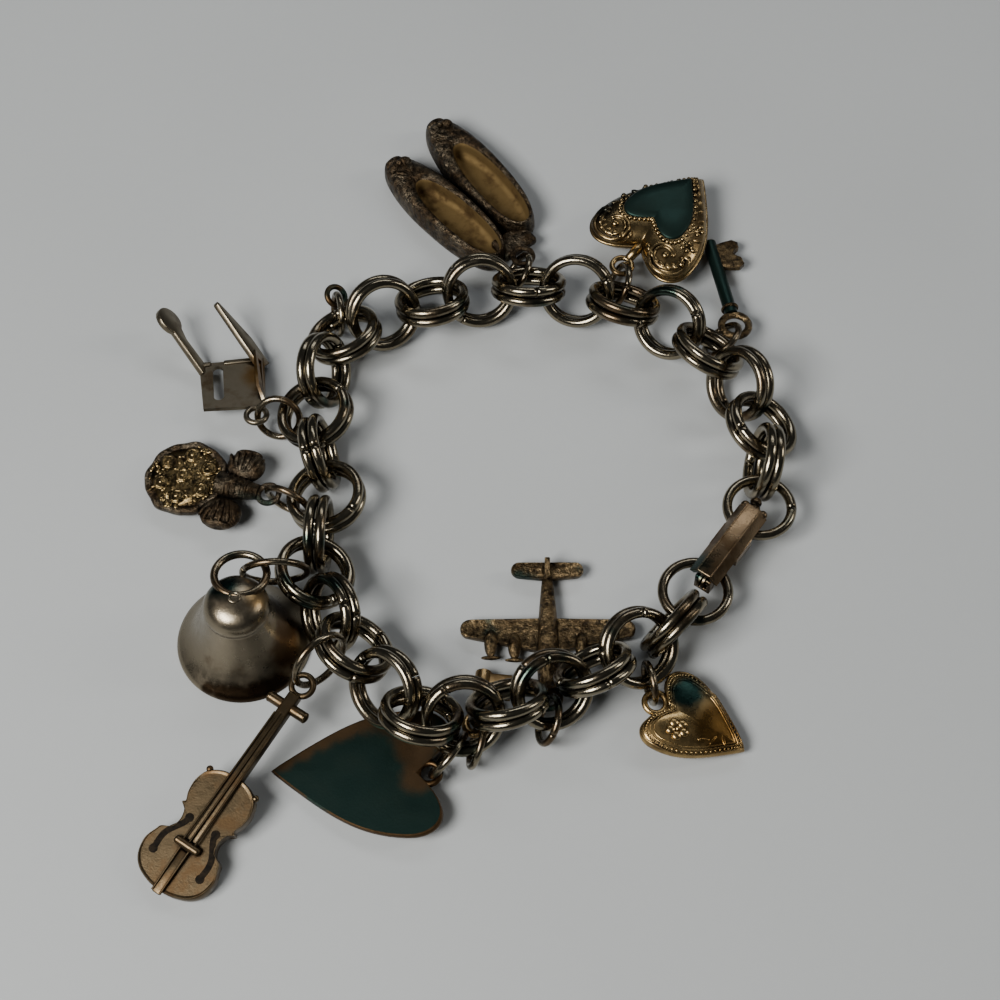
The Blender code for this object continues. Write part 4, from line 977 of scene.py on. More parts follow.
class ClaspOperator(bpy.types.Operator):
    """Make the clasp's base and its folding cover"""

    bl_idname = "bracelet.clasp"
    bl_label = "Clasp"

    def execute(self, context):
        layout = Layout()
        self.base(layout)
        self.cover(layout)
        return {"FINISHED"}

    def base(self, layout):
        wall, half, ear = 0.6 * MM, 1.0 * MM, 0.4 * MM
        half_wire, gap = WIRE / 2, 0.3 * MM
        wire_height = END_HEIGHT - CLASP_FLOOR
        seat_back = HINGE_RING_SEAT - half_wire - gap
        seat_front = HINGE_RING_SEAT + half_wire + gap
        strap_low, strap_high = wire_height + half_wire + gap, COVER_TOP - 0.85 * MM
        hook = layout.grip() + half_wire + gap
        clay = Clay()
        clay.box((-0.35 * MM, -half, 0), (hook + ear, half, wall))
        for side in (-1, 1):
            near, far = sorted((side * (half - ear), side * half))
            clay.box((-0.35 * MM, near, wall / 2), (seat_back, far, PIN_HEIGHT + 0.5 * MM))
            clay.box((seat_back - ear / 2, near, strap_low - ear), (seat_front + ear, far, strap_high))
        clay.box((seat_front, -half, wall / 2), (seat_front + ear, half, strap_high))
        clay.box((hook, -half * 0.7, wall / 2), (hook + ear, half * 0.7, strap_low + gap / 2))
        clay.bar((0, -half + 0.05 * MM, PIN_HEIGHT), (0, half - 0.05 * MM, PIN_HEIGHT), 0.4 * MM)
        clay.piece("clasp_frame", [clasp_metal(layout)], layout.clasp(), ["clasp_base"], sharp=40)

    def cover(self, layout):
        top, wall = COVER_TOP - PIN_HEIGHT, 0.55 * MM
        half_top, half_width, low = COVER_TOP_WIDTH * 0.32, COVER_WIDTH * 0.44, top - 1.2 * MM
        back, grip = -0.35 * MM, layout.grip()
        clay = Clay()
        section = [(-half_width, low), (-half_top, top), (half_top, top), (half_width, low),
                   (half_width - wall * 1.3, low), (half_top - wall * 0.4, top - wall),
                   (-half_top + wall * 0.4, top - wall), (-half_width + wall * 1.3, low)]
        lie = frame_matrix(Vector((0, 0, 0)), Vector((0, 1, 0)), Vector((0, 0, 1)))
        clay.rounded(clay.stacked(section, [(1.0, back), (1.0, COVER_LENGTH)], lie), 0.12 * MM)
        for side in (-1, 1):
            near, far = sorted((side * (half_width - wall), side * half_width))
            clay.box((HINGE_RING_SEAT + 1.8 * MM, near, low - 1.4 * MM),
                     (grip - 0.9 * MM, far, low + 0.15 * MM))
            clay.bar((back + 0.1 * MM, side * half_top, top - 0.02 * MM),
                     (COVER_LENGTH - 0.1 * MM, side * half_top, top - 0.02 * MM), 0.12 * MM)
            clay.pebble((COVER_LENGTH, side * 1.15 * MM, top - wall * 1.5), mm(1.1, 1.1, 0.8))
            clay.bar((0, side * 0.35 * MM, 0), (0, side * 0.12 * MM, 0), 1.04 * MM, sides=28)
        clay.pebble((COVER_LENGTH + 0.05 * MM, 0, top - wall), mm(1.35, 1.3, 0.85))
        clay.pebble((COVER_LENGTH + 0.85 * MM, 0.3 * MM, top - wall * 1.2), mm(1.3, 1.4, 0.9))
        clay.box((back + 0.02 * MM, -0.34 * MM, 0.7 * MM), (-back, 0.34 * MM, top - wall / 2))
        matrix = layout.clasp() @ Matrix.Translation((0.0, 0.0, PIN_HEIGHT))
        clay.piece("clasp_lid", [clasp_metal(layout)], matrix, ["clasp_cover"], body="clasp_lever", sharp=40)


class HeartsOperator(bpy.types.Operator):
    """Make the plain heart, the embossed heart and the small heart"""

    bl_idname = "bracelet.hearts"
    bl_label = "Hearts"

    def execute(self, context):
        layout = Layout()
        self.plain(layout)
        self.embossed(layout)
        self.small(layout)
        return {"FINISHED"}

    def plain(self, layout):
        """A flat sheet heart whose upper face has turned teal."""
        heart = Heart(PLAIN_HEART_LENGTH, PLAIN_HEART_WIDTH, PLAIN_HEART_THICK, EYE_REACH)
        half = heart.thick / 2
        clay = Clay()
        clay.stacked(heart.outline(), [(0.2, -half), (0.95, -half), (0.985, -half * 0.9), (1.0, -half * 0.4),
                                       (1.0, half * 0.4), (0.985, half * 0.9), (0.95, half)],
                     centre=heart.centre)
        clay.slot = 1
        clay.stacked(heart.outline(), [(0.965, half * 0.9), (0.965, half), (0.5, half + 0.06 * MM),
                                       (0.1, half + 0.09 * MM)], centre=heart.centre)
        clay.slot = 0
        eye(clay)
        place = layout.charm("plain_heart")
        stains = []
        for along, across, reach in PLAIN_HEART_STAINS:
            spot = Vector((heart.start + heart.length * along, heart.width * across, half))
            stains.append((place @ spot, reach * MM))
        face = teal_metal("stained teal face", stains)
        clay.piece("sheet_heart", ["dark charm metal", face], place, ["plain_heart"], sharp=40)

    def embossed(self, layout):
        """A puffed heart with a smooth raised heart, beads, scrolls and leaves."""
        heart = Heart(BIG_HEART_LENGTH, BIG_HEART_WIDTH, BIG_HEART_THICK, EYE_OUTER / 2 + BIG_HEART_NECK)
        clay = Clay()
        clay.stacked(heart.outline(), heart.layers(), centre=heart.centre)
        rim = [(x, y, 0.0) for x, y in heart.outline()]
        clay.tube(rim + rim[:1], 0.22 * MM)
        self.field(clay, heart)
        self.scrolls(clay, heart)
        stalk(clay, heart.start)
        eye(clay)
        clay.piece("embossed_charm", [embossed_metal(layout), teal_metal()], layout.charm("embossed_heart"),
                   ["embossed_heart"])

    @staticmethod
    def field(clay, heart):
        """The smooth heart towards the left edge and the tip, with its row of beads."""
        aside = Vector((heart.length * 0.11, heart.width * 0.035))
        middle = (heart.centre[0] + aside.x, aside.y)
        thick, bead = heart.thick, sizes().bead
        clay.slot = 1
        clay.stacked([(x + aside.x, y + aside.y) for x, y in heart.outline()],
                     [(0.60, thick * 0.28), (0.60, thick * 0.50), (0.57, thick * 0.535), (0.3, thick * 0.55),
                      (0.08, thick * 0.555)], centre=middle)
        clay.slot = 0
        for x, y in heart.outline(50):
            x, y = middle[0] + (x + aside.x - middle[0]) * 0.655, middle[1] + y * 0.655
            clay.pebble(heart.on_top(x, y), (bead, bead, bead * 0.9), columns=10, rows=6)

    def scrolls(self, clay, heart):
        """A doubled scroll on each lobe, leaves along the edge and small flowers."""
        for side in (-1, 1):
            spot = (heart.start - heart.length * 0.01, side * heart.width * 0.27)
            for widest, wire in (mm(3.0, 0.34), mm(2.15, 0.28)):
                curl = []
                for step in range(26):
                    turn = 0.9 + step * 0.26
                    reach = widest * (1.0 - 0.026 * step)
                    curl.append(heart.on_top(spot[0] + reach * math.cos(turn) * 0.9,
                                             spot[1] + side * reach * math.sin(turn)))
                clay.tube(curl, wire, end_radius=wire * 0.6)
            clay.pebble(heart.on_top(*spot), mm(1.0, 1.0, 0.8))
        for index, (x, y) in enumerate(heart.drawn_in(0.84, 40)):
            if index in (0, 1, 2, 38, 39):
                continue
            turn = Matrix.Rotation(math.atan2(y, x - heart.centre[0]) + 0.5, 4, "Z")
            clay.pebble(heart.on_top(x, y, 0.97), mm(1.35, 0.6, 0.55), turn, 10, 6)
        for share, across in ((0.20, -0.36), (0.42, -0.33), (0.30, 0.36), (0.52, 0.27)):
            spot = heart.on_top(heart.start + heart.length * share, heart.width * across)
            self.flower(clay, spot, 0.62 * MM, 0.62 * MM)

    @staticmethod
    def flower(clay, centre, reach, petal, thick=0.45 * MM):
        for step in range(5):
            turn = 2 * math.pi * step / 5
            spot = (centre[0] + reach * math.cos(turn), centre[1] + reach * math.sin(turn), centre[2])
            clay.pebble(spot, (petal, petal, thick), columns=12, rows=8)
        clay.pebble(centre, (petal * 0.6, petal * 0.6, thick * 1.2), columns=10, rows=6)

    def small(self, layout):
        """A puffed heart with a milled border, a flower on one lobe and a few stems."""
        heart = Heart(SMALL_HEART_LENGTH, SMALL_HEART_WIDTH, SMALL_HEART_THICK, EYE_OUTER / 2)
        clay = Clay()
        clay.stacked(heart.outline(), heart.layers(), centre=heart.centre)
        for share in (0.95, 0.84, 0.77):
            line = [heart.on_top(x, y, 0.98) for x, y in heart.drawn_in(share, 72)]
            clay.tube(line + line[:1], 0.11 * MM, sides=6)
        for x, y in heart.drawn_in(0.895, 84):
            clay.pebble(heart.on_top(x, y, 0.99), mm(0.34, 0.34, 0.3), columns=6, rows=4)
        bloom = heart.on_top(heart.start + heart.length * 0.20, -heart.width * 0.2)
        self.flower(clay, bloom, 0.78 * MM, 1.15 * MM, 0.6 * MM)
        for stem in range(3):
            spot = heart.on_top(heart.start + heart.length * (0.52 + 0.10 * stem),
                                -heart.width * (0.16 - 0.055 * stem), 0.99)
            turn = Matrix.Rotation(0.5 + 0.9 * stem, 4, "Z")
            clay.pebble(spot, mm(1.5, 0.42, 0.22), turn, 10, 6)
        stalk(clay, heart.start)
        eye(clay)
        clay.piece("flower_heart", [flower_heart_metal(layout)], layout.charm("small_heart"), ["small_heart"])


class SlippersOperator(bpy.types.Operator):
    """Make the pair of ballet slippers"""

    bl_idname = "bracelet.slippers"
    bl_label = "Ballet slippers"

    def execute(self, context):
        layout = Layout()
        height = layout.eye_height("ballet_slippers")
        clay = Clay()
        for side, ahead in ((1, LEFT_SHOE_AHEAD), (-1, RIGHT_SHOE_AHEAD)):
            spot = Matrix.Translation((ahead, side * SLIPPER_SPACING + SHOES_SHIFT, -height))
            self.shoe(clay, spot @ Matrix.Rotation(math.radians(side * SLIPPER_SPLAY), 4, "Z"))
        half = SLIPPER_WIDTH / 2
        clay.box((1.15 * MM, -half, -1.4 * MM), (4.4 * MM, half * 0.5, -0.15 * MM), 0.4 * MM)
        eye(clay)
        clay.piece("shoe_pair", ["dark cast metal", "rough gold hollow"],
                   layout.charm("ballet_slippers"), ["ballet_slippers"])
        return {"FINISHED"}

    def shoe(self, clay, place):
        """One shoe from its sole up to the opening's lip, and down again to the hollow's floor."""
        rows = [  # share of the length, share of the width, shift towards the heel, share of the height
            (0.90, 0.78, 0.00, 0.00), (0.97, 0.95, 0.00, 0.08), (1.00, 1.00, 0.00, 0.25),
            (1.00, 1.00, 0.00, 0.45), (0.99, 0.97, 0.00, 0.66), (0.95, 0.92, 0.01, 0.85),
            (0.87, 0.85, 0.05, 0.97), (0.78, 0.76, 0.09, 1.01), (0.73, 0.69, 0.11, 0.99),
            (0.70, 0.64, 0.12, 0.92), (0.68, 0.61, 0.12, 0.78), (0.67, 0.59, 0.12, 0.60),
            (0.65, 0.56, 0.12, 0.44), (0.45, 0.38, 0.12, 0.39), (0.10, 0.08, 0.12, 0.39),
        ]
        corners = 64
        base = [2 * math.pi * step / corners for step in range(corners)]
        face, ring = None, None
        everything, sunk = [], []
        for index, (length, width, shift, height) in enumerate(rows):
            if face is None:
                ring = [clay.bm.verts.new((0, 0, 0)) for _ in base]
                face = clay.bm.faces.new(ring)
            else:
                face = clay.grown(face, index == 1)
                ring = clay.in_order(face, ring, ring)
            for corner, turn in zip(ring, base):
                along, side = math.cos(turn), math.sin(turn)
                along = math.copysign(abs(along) ** 0.85, along)
                side = math.copysign(abs(side) ** 0.8, side) * (1.0 - 0.14 * max(along, 0.0) ** 2)
                corner.co = (SLIPPER_LENGTH * (0.5 + 0.5 * along * length - shift),
                             SLIPPER_WIDTH / 2 * side * width, SLIPPER_HEIGHT * height)
            everything += ring
            if index > 9:
                sunk += ring
        clay.faced(everything)
        clay.kept(everything)
        clay.slot = 1
        clay.kept(sunk)
        clay.slot = 0
        everything += self.trim(clay)
        bmesh.ops.transform(clay.bm, matrix=place, verts=everything)

    def trim(self, clay):
        """The bow on the toe, the pleats round it and the seam at the heel."""
        made = []
        toe = SLIPPER_LENGTH * 0.90
        for side in (-1, 1):
            turn = Matrix.Rotation(side * 0.6, 4, "Z")
            made += clay.pebble((toe, side * 0.85 * MM, SLIPPER_HEIGHT * 0.92),
                                mm(1.3, 1.7, 1.0), turn)
            made += clay.pebble((toe - 1.5 * MM, side * 0.8 * MM, SLIPPER_HEIGHT * 0.99),
                                mm(1.7, 0.55, 0.4), turn)
        made += clay.pebble((toe + 0.1 * MM, 0, SLIPPER_HEIGHT * 0.98), mm(0.9, 0.8, 0.9))
        made += clay.pebble((toe + 0.9 * MM, 0.1 * MM, SLIPPER_HEIGHT * 0.78), mm(1.5, 2.6, 1.5))
        for step in range(-2, 3):
            turn = Matrix.Rotation(step * 0.22, 4, "Z")
            height = SLIPPER_HEIGHT * (0.93 - 0.05 * abs(step))
            made += clay.pebble((toe - 1.0 * MM, step * 0.50 * MM, height), mm(2.4, 0.32, 0.3),
                                turn, 10, 6)
        made += clay.pebble((0.55 * MM, 0, SLIPPER_HEIGHT * 0.62), mm(0.6, 0.7, 2.4))
        return made


class KeysOperator(bpy.types.Operator):
    """Make the large and the small key"""

    bl_idname = "bracelet.keys"
    bl_label = "Keys"

    def execute(self, context):
        layout = Layout()
        self.large(layout)
        self.small(layout)
        return {"FINISHED"}

    def large(self, layout):
        clay = Clay()
        end = BIG_KEY_LENGTH - BIG_KEY_BOW / 2
        clay.slot = 1
        clay.bar((BIG_KEY_BOW / 2 - 0.3 * MM, 0, 0), (end, 0, 0), KEY_SHANK / 2, sides=24)
        clay.slot = 0
        clay.pebble((end, 0, 0), (0.6 * MM, KEY_SHANK, KEY_SHANK), columns=20)
        clay.ring(BIG_KEY_BOW, EYE_WIRE * 1.3)
        clay.ring(KEY_SHANK * 1.35, 0.45 * MM, Matrix.Translation((BIG_KEY_BOW / 2 + 0.6 * MM, 0, 0))
                  @ Matrix.Rotation(math.pi / 2, 4, "Y"), 28, 10)
        length, reach = BIG_KEY_BIT
        corners = (  # share of the bit's length from its near end, share of its reach
            (0.10, 0.10), (0.02, 0.45), (-0.02, 0.80), (0.10, 1.00), (0.28, 0.98), (0.40, 0.78), (0.50, 0.72),
            (0.60, 0.78), (0.72, 0.98), (0.90, 1.00), (1.02, 0.80), (0.98, 0.45), (0.90, 0.10),
        )
        outline = [(end - length + (length - 0.2 * MM) * along, -reach * across) for along, across in corners]
        half = 0.5 * MM
        clay.stacked(outline, [(0.90, -half), (1.0, -half * 0.6), (1.0, half * 0.6), (0.90, half)],
                     centre=(end - length / 2, -reach * 0.55))
        clay.piece("bit_key", ["cast charm metal", teal_metal("teal shank")],
                   layout.charm("large_key"), ["large_key"], sharp=35)

    def small(self, layout):
        clay = Clay()
        end = SMALL_KEY_LENGTH - SMALL_KEY_BOW / 2
        clay.bar((SMALL_KEY_BOW / 2 - 0.3 * MM, 0, 0), (end, 0, 0), SMALL_KEY_SHANK / 2, sides=24)
        clay.pebble((end, 0, 0), (0.5 * MM, SMALL_KEY_SHANK, SMALL_KEY_SHANK), columns=20)
        clay.ring(SMALL_KEY_BOW, EYE_WIRE * 1.3)
        length, reach = SMALL_KEY_BIT
        far, near, tooth, notch = end - 0.2 * MM, end - length, length / 3, -reach * 0.6
        outline = [(near, -0.3 * MM), (near, -reach), (near + tooth, -reach), (near + tooth, notch),
                   (far - tooth, notch), (far - tooth, -reach), (far, -reach), (far, -0.3 * MM)]
        half = SMALL_KEY_SHANK * 0.3
        clay.rounded(clay.stacked(outline, [(1.0, -half), (1.0, half)]), 0.1 * MM, 2)
        clay.piece("notched_key", ["gilt charm metal"], layout.charm("small_key"), ["small_key"],
                   sharp=35)


class ViolinOperator(bpy.types.Operator):
    """Make the violin"""

    bl_idname = "bracelet.violin"
    bl_label = "Violin"

    def execute(self, context):
        layout = Layout()
        clay = Clay()
        start = EYE_OUTER / 2 + VIOLIN_NECK
        back = -VIOLIN_THICK * 0.6
        top = back + VIOLIN_THICK
        whole = self.outline(start)
        centre = (start + VIOLIN_BODY * 0.55, 0.0)
        belly = top - 0.07 * MM
        clay.stacked(whole, [(0.3, back), (0.97, back), (1.0, back + 0.15 * MM), (1.0, top - 0.12 * MM),
                             (0.985, top), (0.965, top), (0.95, belly), (0.94, belly), (0.5, belly),
                             (0.1, belly)], centre=centre)
        self.fittings(clay, start, back, top)
        eye(clay)
        clay.piece("little_violin", ["violin metal", painted_slot_shade()], layout.charm("violin"),
                   ["violin"], sharp=45)
        return {"FINISHED"}

    @staticmethod
    def outline(start):
        """The body's outline, smooth through a few stations of its half width."""
        stations = [  # share of the body's length from its neck end, share of its half width
            (0.00, 0.12), (0.02, 0.40), (0.08, 0.68), (0.18, 0.80), (0.28, 0.78), (0.345, 0.70), (0.37, 0.76),
            (0.40, 0.62), (0.48, 0.55), (0.56, 0.62), (0.60, 0.84), (0.64, 0.90), (0.74, 1.00), (0.86, 0.92),
            (0.94, 0.70), (0.985, 0.36), (1.00, 0.08),
        ]
        half = []
        points = [Vector(station) for station in stations]
        points = [points[0] * 2 - points[1]] + points + [points[-1] * 2 - points[-2]]
        for index in range(1, len(points) - 2):
            for step in range(4):
                point = curve_point(*points[index - 1:index + 3], step / 4)
                half.append((start + VIOLIN_BODY * point.x, VIOLIN_WIDTH / 2 * max(point.y, 0.04)))
        half.append((start + VIOLIN_BODY, VIOLIN_WIDTH / 2 * stations[-1][1]))
        return half + [(x, -y) for x, y in reversed(half)]

    def fittings(self, clay, start, back, top):
        """Neck, head with its pegs, strings, bridge and tailpiece."""
        neck, middle = EYE_REACH, (back + top) / 2 + 0.2 * MM
        bridge, tail = start + VIOLIN_BODY * 0.62, start + VIOLIN_BODY
        clay.box((neck, -0.7 * MM, back + 0.3 * MM), (start + 1.0 * MM, 0.7 * MM, top + 0.15 * MM), 0.25 * MM)
        head, string = neck + 1.6 * MM, 0.13 * MM
        clay.bar((head, -2.3 * MM, middle), (head, 2.3 * MM, middle), 0.62 * MM)
        for side in (-1, 1):
            clay.pebble((head, side * 2.3 * MM, middle), mm(1.3, 0.7, 1.3))
            clay.pebble((start + VIOLIN_BODY * 0.06, side * VIOLIN_WIDTH * 0.33, top - 0.2 * MM),
                        mm(0.8, 0.8, 0.7))
            clay.bar((head + 1.2 * MM, side * 0.6 * MM, top + 0.2 * MM),
                     (bridge, side * 0.75 * MM, top + 0.5 * MM), string)
            clay.bar((bridge, side * 0.55 * MM, top + 0.45 * MM),
                     (tail + 0.3 * MM, side * 0.5 * MM, top + 0.2 * MM), string)
            self.sound_hole(clay, side, start, top)
        clay.bar((head + 1.0 * MM, 0, top + 0.2 * MM), (bridge, 0, top + 0.45 * MM), string)
        clay.box((head + 0.9 * MM, -0.6 * MM, top - 0.2 * MM), (bridge - 0.6 * MM, 0.6 * MM, top + 0.2 * MM))
        clay.bar((bridge, -1.3 * MM, top + 0.35 * MM), (bridge, 1.3 * MM, top + 0.35 * MM), 0.5 * MM)
        for side in (-1, 1):
            clay.pebble((bridge, side * 1.3 * MM, top + 0.35 * MM), mm(1.0, 0.7, 1.0))
        clay.box((bridge + 0.6 * MM, -0.5 * MM, top - 0.2 * MM), (tail + 0.4 * MM, 0.5 * MM, top + 0.22 * MM),
                 0.15 * MM)

    @staticmethod
    def sound_hole(clay, side, start, top):
        """A curled slot beside the bridge, painted dark for the shade inside the cut."""
        # The slot and its round ends take the painted shade; there is no real hole
        clay.slot = 1
        slot = []
        for step in range(17):
            share = step / 16
            bend = math.sin((share - 0.5) * math.pi) * 0.85 * MM
            x = start + VIOLIN_BODY * (0.44 + 0.33 * share)
            y = side * (VIOLIN_WIDTH * 0.29 + bend * 0.8 - 0.25 * MM * math.cos(share * 2 * math.pi))
            slot.append((x, y, top - 0.05 * MM))
        clay.tube(slot, 0.34 * MM, sides=8, flat=0.12)
        for end in (slot[0], slot[-1]):
            clay.pebble((end[0], end[1], top - 0.05 * MM), mm(1.0, 1.0, 0.1), columns=14, rows=6)
        clay.slot = 0


class AirplaneOperator(bpy.types.Operator):
    """Make the airplane with its four engines"""

    bl_idname = "bracelet.airplane"
    bl_label = "Airplane"

    def execute(self, context):
        layout = Layout()
        clay = Clay()
        nose = EYE_REACH
        axis = PLANE_BODY / 2 - layout.eye_height("airplane")
        self.body(clay, nose, axis)
        self.wings(clay, nose, axis)
        clay.bar((nose - EYE_WIRE / 4, 0, 0), (nose + PLANE_LENGTH * 0.09, 0, axis), EYE_WIRE * 0.8)
        eye(clay)
        clay.piece("little_airplane", ["cast charm metal"], layout.charm("airplane"), ["airplane"], sharp=60)
        return {"FINISHED"}

    @staticmethod
    def body(clay, nose, axis):
        """The round body, its canopy and the upright fin."""
        stations = [  # share of the length, share of the body's width
            (0.00, 0.20), (0.01, 0.42), (0.04, 0.70), (0.10, 0.92), (0.18, 1.00), (0.32, 1.00), (0.45, 0.93),
            (0.60, 0.80), (0.75, 0.64), (0.88, 0.46), (0.97, 0.30), (1.00, 0.14),
        ]
        profile = [(nose + PLANE_LENGTH * along, PLANE_BODY / 2 * wide) for along, wide in stations]
        clay.tube([(x, 0, axis) for x, _ in profile], PLANE_BODY / 2, sides=24)
        corners = sorted(clay.bm.verts, key=lambda corner: corner.co.x)
        for x, wide in profile:
            for corner in corners:
                if abs(corner.co.x - x) < 0.001 * MM:
                    corner.co.y *= wide / (PLANE_BODY / 2)
                    corner.co.z = axis + (corner.co.z - axis) * wide / (PLANE_BODY / 2)
        clay.pebble((nose + PLANE_LENGTH * 0.22, 0, axis + PLANE_BODY * 0.42), mm(3.4, 1.1, 0.9))
        tail = nose + PLANE_LENGTH * 0.86
        fin = [(tail + along * MM, axis + high * MM) for along, high in (
            (-0.6, 0.0), (0.3, 1.3), (1.0, 1.75), (2.0, 1.7), (2.35, 0.9), (2.2, 0.0))]
        upright = frame_matrix(Vector((0, 0, 0)), Vector((1, 0, 0)), Vector((0, 0, 1)))
        clay.stacked(fin, [(0.96, -0.3 * MM), (1.0, -0.15 * MM), (1.0, 0.15 * MM), (0.96, 0.3 * MM)], upright,
                     (tail + 1.0 * MM, axis + 0.8 * MM))

    @staticmethod
    def wing_outline(front, back, half, tip_front, tip_back):
        """A wing from tip to tip with rounded ends, as points round its edge."""
        outline = []
        for side in (-1, 1):
            steps = range(9) if side < 0 else range(8, -1, -1)
            for step in steps:
                turn = math.pi / 2 * (step / 8) * 2 - math.pi / 2
                middle, reach = (tip_front + tip_back) / 2, (tip_back - tip_front) / 2
                x = middle + reach * math.sin(turn)
                y = side * (half - reach * 0.9 + reach * 0.9 * math.cos(turn))
                outline.append((x, y))
            outline.append((back if side < 0 else front, 0.0))
        return outline

    def wings(self, clay, nose, axis):
        """The wing and the tailplane, and the engines with their propellers."""
        half = PLANE_SPAN / 2
        main = self.wing_outline(nose + PLANE_LENGTH * 0.30, nose + PLANE_LENGTH * 0.56, half,
                                 nose + PLANE_LENGTH * 0.42, nose + PLANE_LENGTH * 0.55)
        tail = self.wing_outline(nose + PLANE_LENGTH * 0.85, nose + PLANE_LENGTH * 0.98, half * 0.42,
                                 nose + PLANE_LENGTH * 0.87, nose + PLANE_LENGTH * 0.98)
        for outline, low, high in ((main, axis - 0.6 * MM, axis + 0.2 * MM),
                                   (tail, axis - 0.2 * MM, axis + 0.4 * MM)):
            centre = (sum(x for x, _ in outline) / len(outline), 0.0)
            clay.stacked(outline, [(0.97, low), (1.0, low + 0.2 * MM), (1.0, high - 0.1 * MM),
                                   (0.985, high + 0.06 * MM), ((0.86, 0.965), high + 0.06 * MM),
                                   ((0.80, 0.95), high - 0.04 * MM), ((0.3, 0.5), high + 0.05 * MM)],
                         centre=centre)
        for side in (-1, 1):
            for share in (0.38, 0.65):
                front = nose + PLANE_LENGTH * (0.24 + 0.06 * share)
                y = side * half * share
                clay.pebble((front + 1.5 * MM, y, axis + 0.15 * MM), mm(3.4, 1.5, 1.5), columns=20)
                clay.bar((front + 0.2 * MM, y, axis), (front - 0.2 * MM, y, axis), 0.35 * MM)
                clay.pebble((front - 0.15 * MM, y, axis), mm(0.5, 2.2, 0.6))


class BouquetOperator(bpy.types.Operator):
    """Make the bouquet with its bow"""

    bl_idname = "bracelet.bouquet"
    bl_label = "Bouquet"

    def execute(self, context):
        layout = Layout()
        clay = Clay()
        radius = BOUQUET_DISC / 2
        centre = (EYE_OUTER / 2 + 3.6 * MM + radius, 0.0)
        self.disc(clay, centre, radius)
        self.blooms(clay, centre, radius)
        self.bow(clay, centre[0] - radius)
        eye(clay)
        clay.piece("little_bouquet", ["dark cast metal", "bloom metal"],
                   layout.charm("bouquet"), ["bouquet"])
        return {"FINISHED"}

    @staticmethod
    def disc(clay, centre, radius):
        """A lumpy disc with a smooth dark rim."""
        outline = []
        for step in range(96):
            turn = 2 * math.pi * step / 96
            reach = radius * (0.97 + 0.018 * math.sin(turn * 7) + 0.012 * math.sin(turn * 12 + 1.0))
            outline.append((centre[0] + reach * math.cos(turn), reach * math.sin(turn)))
        thick = BOUQUET_THICK
        clay.stacked(outline, [(0.80, -0.5 * thick), (0.95, -0.3 * thick), (1.0, -0.05 * thick),
                               (1.0, 0.16 * thick), (0.97, 0.27 * thick), (0.92, 0.31 * thick),
                               (0.87, 0.24 * thick)], centre=centre)
        clay.slot = 1
        clay.stacked(outline, [(0.88, 0.0), (0.88, 0.22 * thick), (0.5, 0.34 * thick), (0.1, 0.38 * thick)],
                     centre=centre)
        clay.slot = 0

    @staticmethod
    def blooms(clay, centre, radius):
        """Seven low round blooms among small buds and leaves."""
        clay.slot = 1
        luck = random.Random(11)
        spots = [(0.04, 0.3)] + [(0.57, 2 * math.pi * (step + 0.5) / 6) for step in range(6)]
        for share, turn in spots:
            x, y = centre[0] + radius * share * math.cos(turn), radius * share * math.sin(turn)
            high = BOUQUET_THICK * (0.40 - 0.06 * share)
            clay.pebble((x, y, high - 0.05 * MM), mm(2.0, 2.0, 0.5), columns=20, rows=8)
            clay.ring(1.75 * MM, 0.36 * MM, Matrix.Translation((x, y, high + 0.08 * MM)), 20, 8, flat=0.8)
            clay.pebble((x, y, high + 0.12 * MM), mm(0.7, 0.7, 0.45), columns=12, rows=8)
        for _ in range(130):
            turn, share = luck.uniform(0, 2 * math.pi), math.sqrt(luck.uniform(0.0, 0.74))
            wide = luck.uniform(0.35, 0.75) * MM
            high = BOUQUET_THICK * (0.38 - 0.13 * share)
            spot = (centre[0] + radius * share * math.cos(turn), radius * share * math.sin(turn), high)
            turned = Matrix.Rotation(luck.uniform(0, 3.1), 4, "Z")
            clay.pebble(spot, (wide * 1.3, wide * 0.8, wide * 0.55), turned, 8, 6)
        clay.slot = 0

    @staticmethod
    def bow(clay, edge):
        """The tied stems and the two ribbed loops of the bow."""
        neck = EYE_REACH
        clay.bar((neck, 0, 0), (edge + 1.0 * MM, 0, 0), 0.9 * MM, 1.7 * MM)
        for back, side, size in BOW_LUMPS:
            middle = Vector((edge + BOUQUET_DISC / 2 - back, side, 0))
            clay.pebble(middle, size, None, 28, 16)
            outwards = math.copysign(1.0, side)
            for rib in range(6):
                share = (rib - 2.5) / 3.4
                spot = middle + Vector((size[0] / 2 * share, size[1] * 0.04 * outwards,
                                        size[2] * 0.44 * math.sqrt(1.0 - share ** 2)))
                fan = Matrix.Rotation(-outwards * share * 0.55, 4, "Z")
                reach = size[1] * 0.70 * math.sqrt(1.0 - share ** 2)
                clay.pebble(spot, (0.62 * MM, reach, 0.70 * MM), fan, 10, 8)
            fold = middle + Vector((0.0, size[1] * 0.36 * outwards, size[2] * 0.12))
            clay.pebble(fold, (size[0] * 0.70, 1.0 * MM, size[2] * 0.72), None, 20, 10)
        for step in range(5):
            along = edge - (2.6 - 0.62 * step) * MM
            clay.pebble((along, 0, 0.55 * MM + 0.05 * MM * step),
                        (0.5 * MM, 2.1 * MM + 0.22 * MM * step, 1.5 * MM), None, 16, 10)


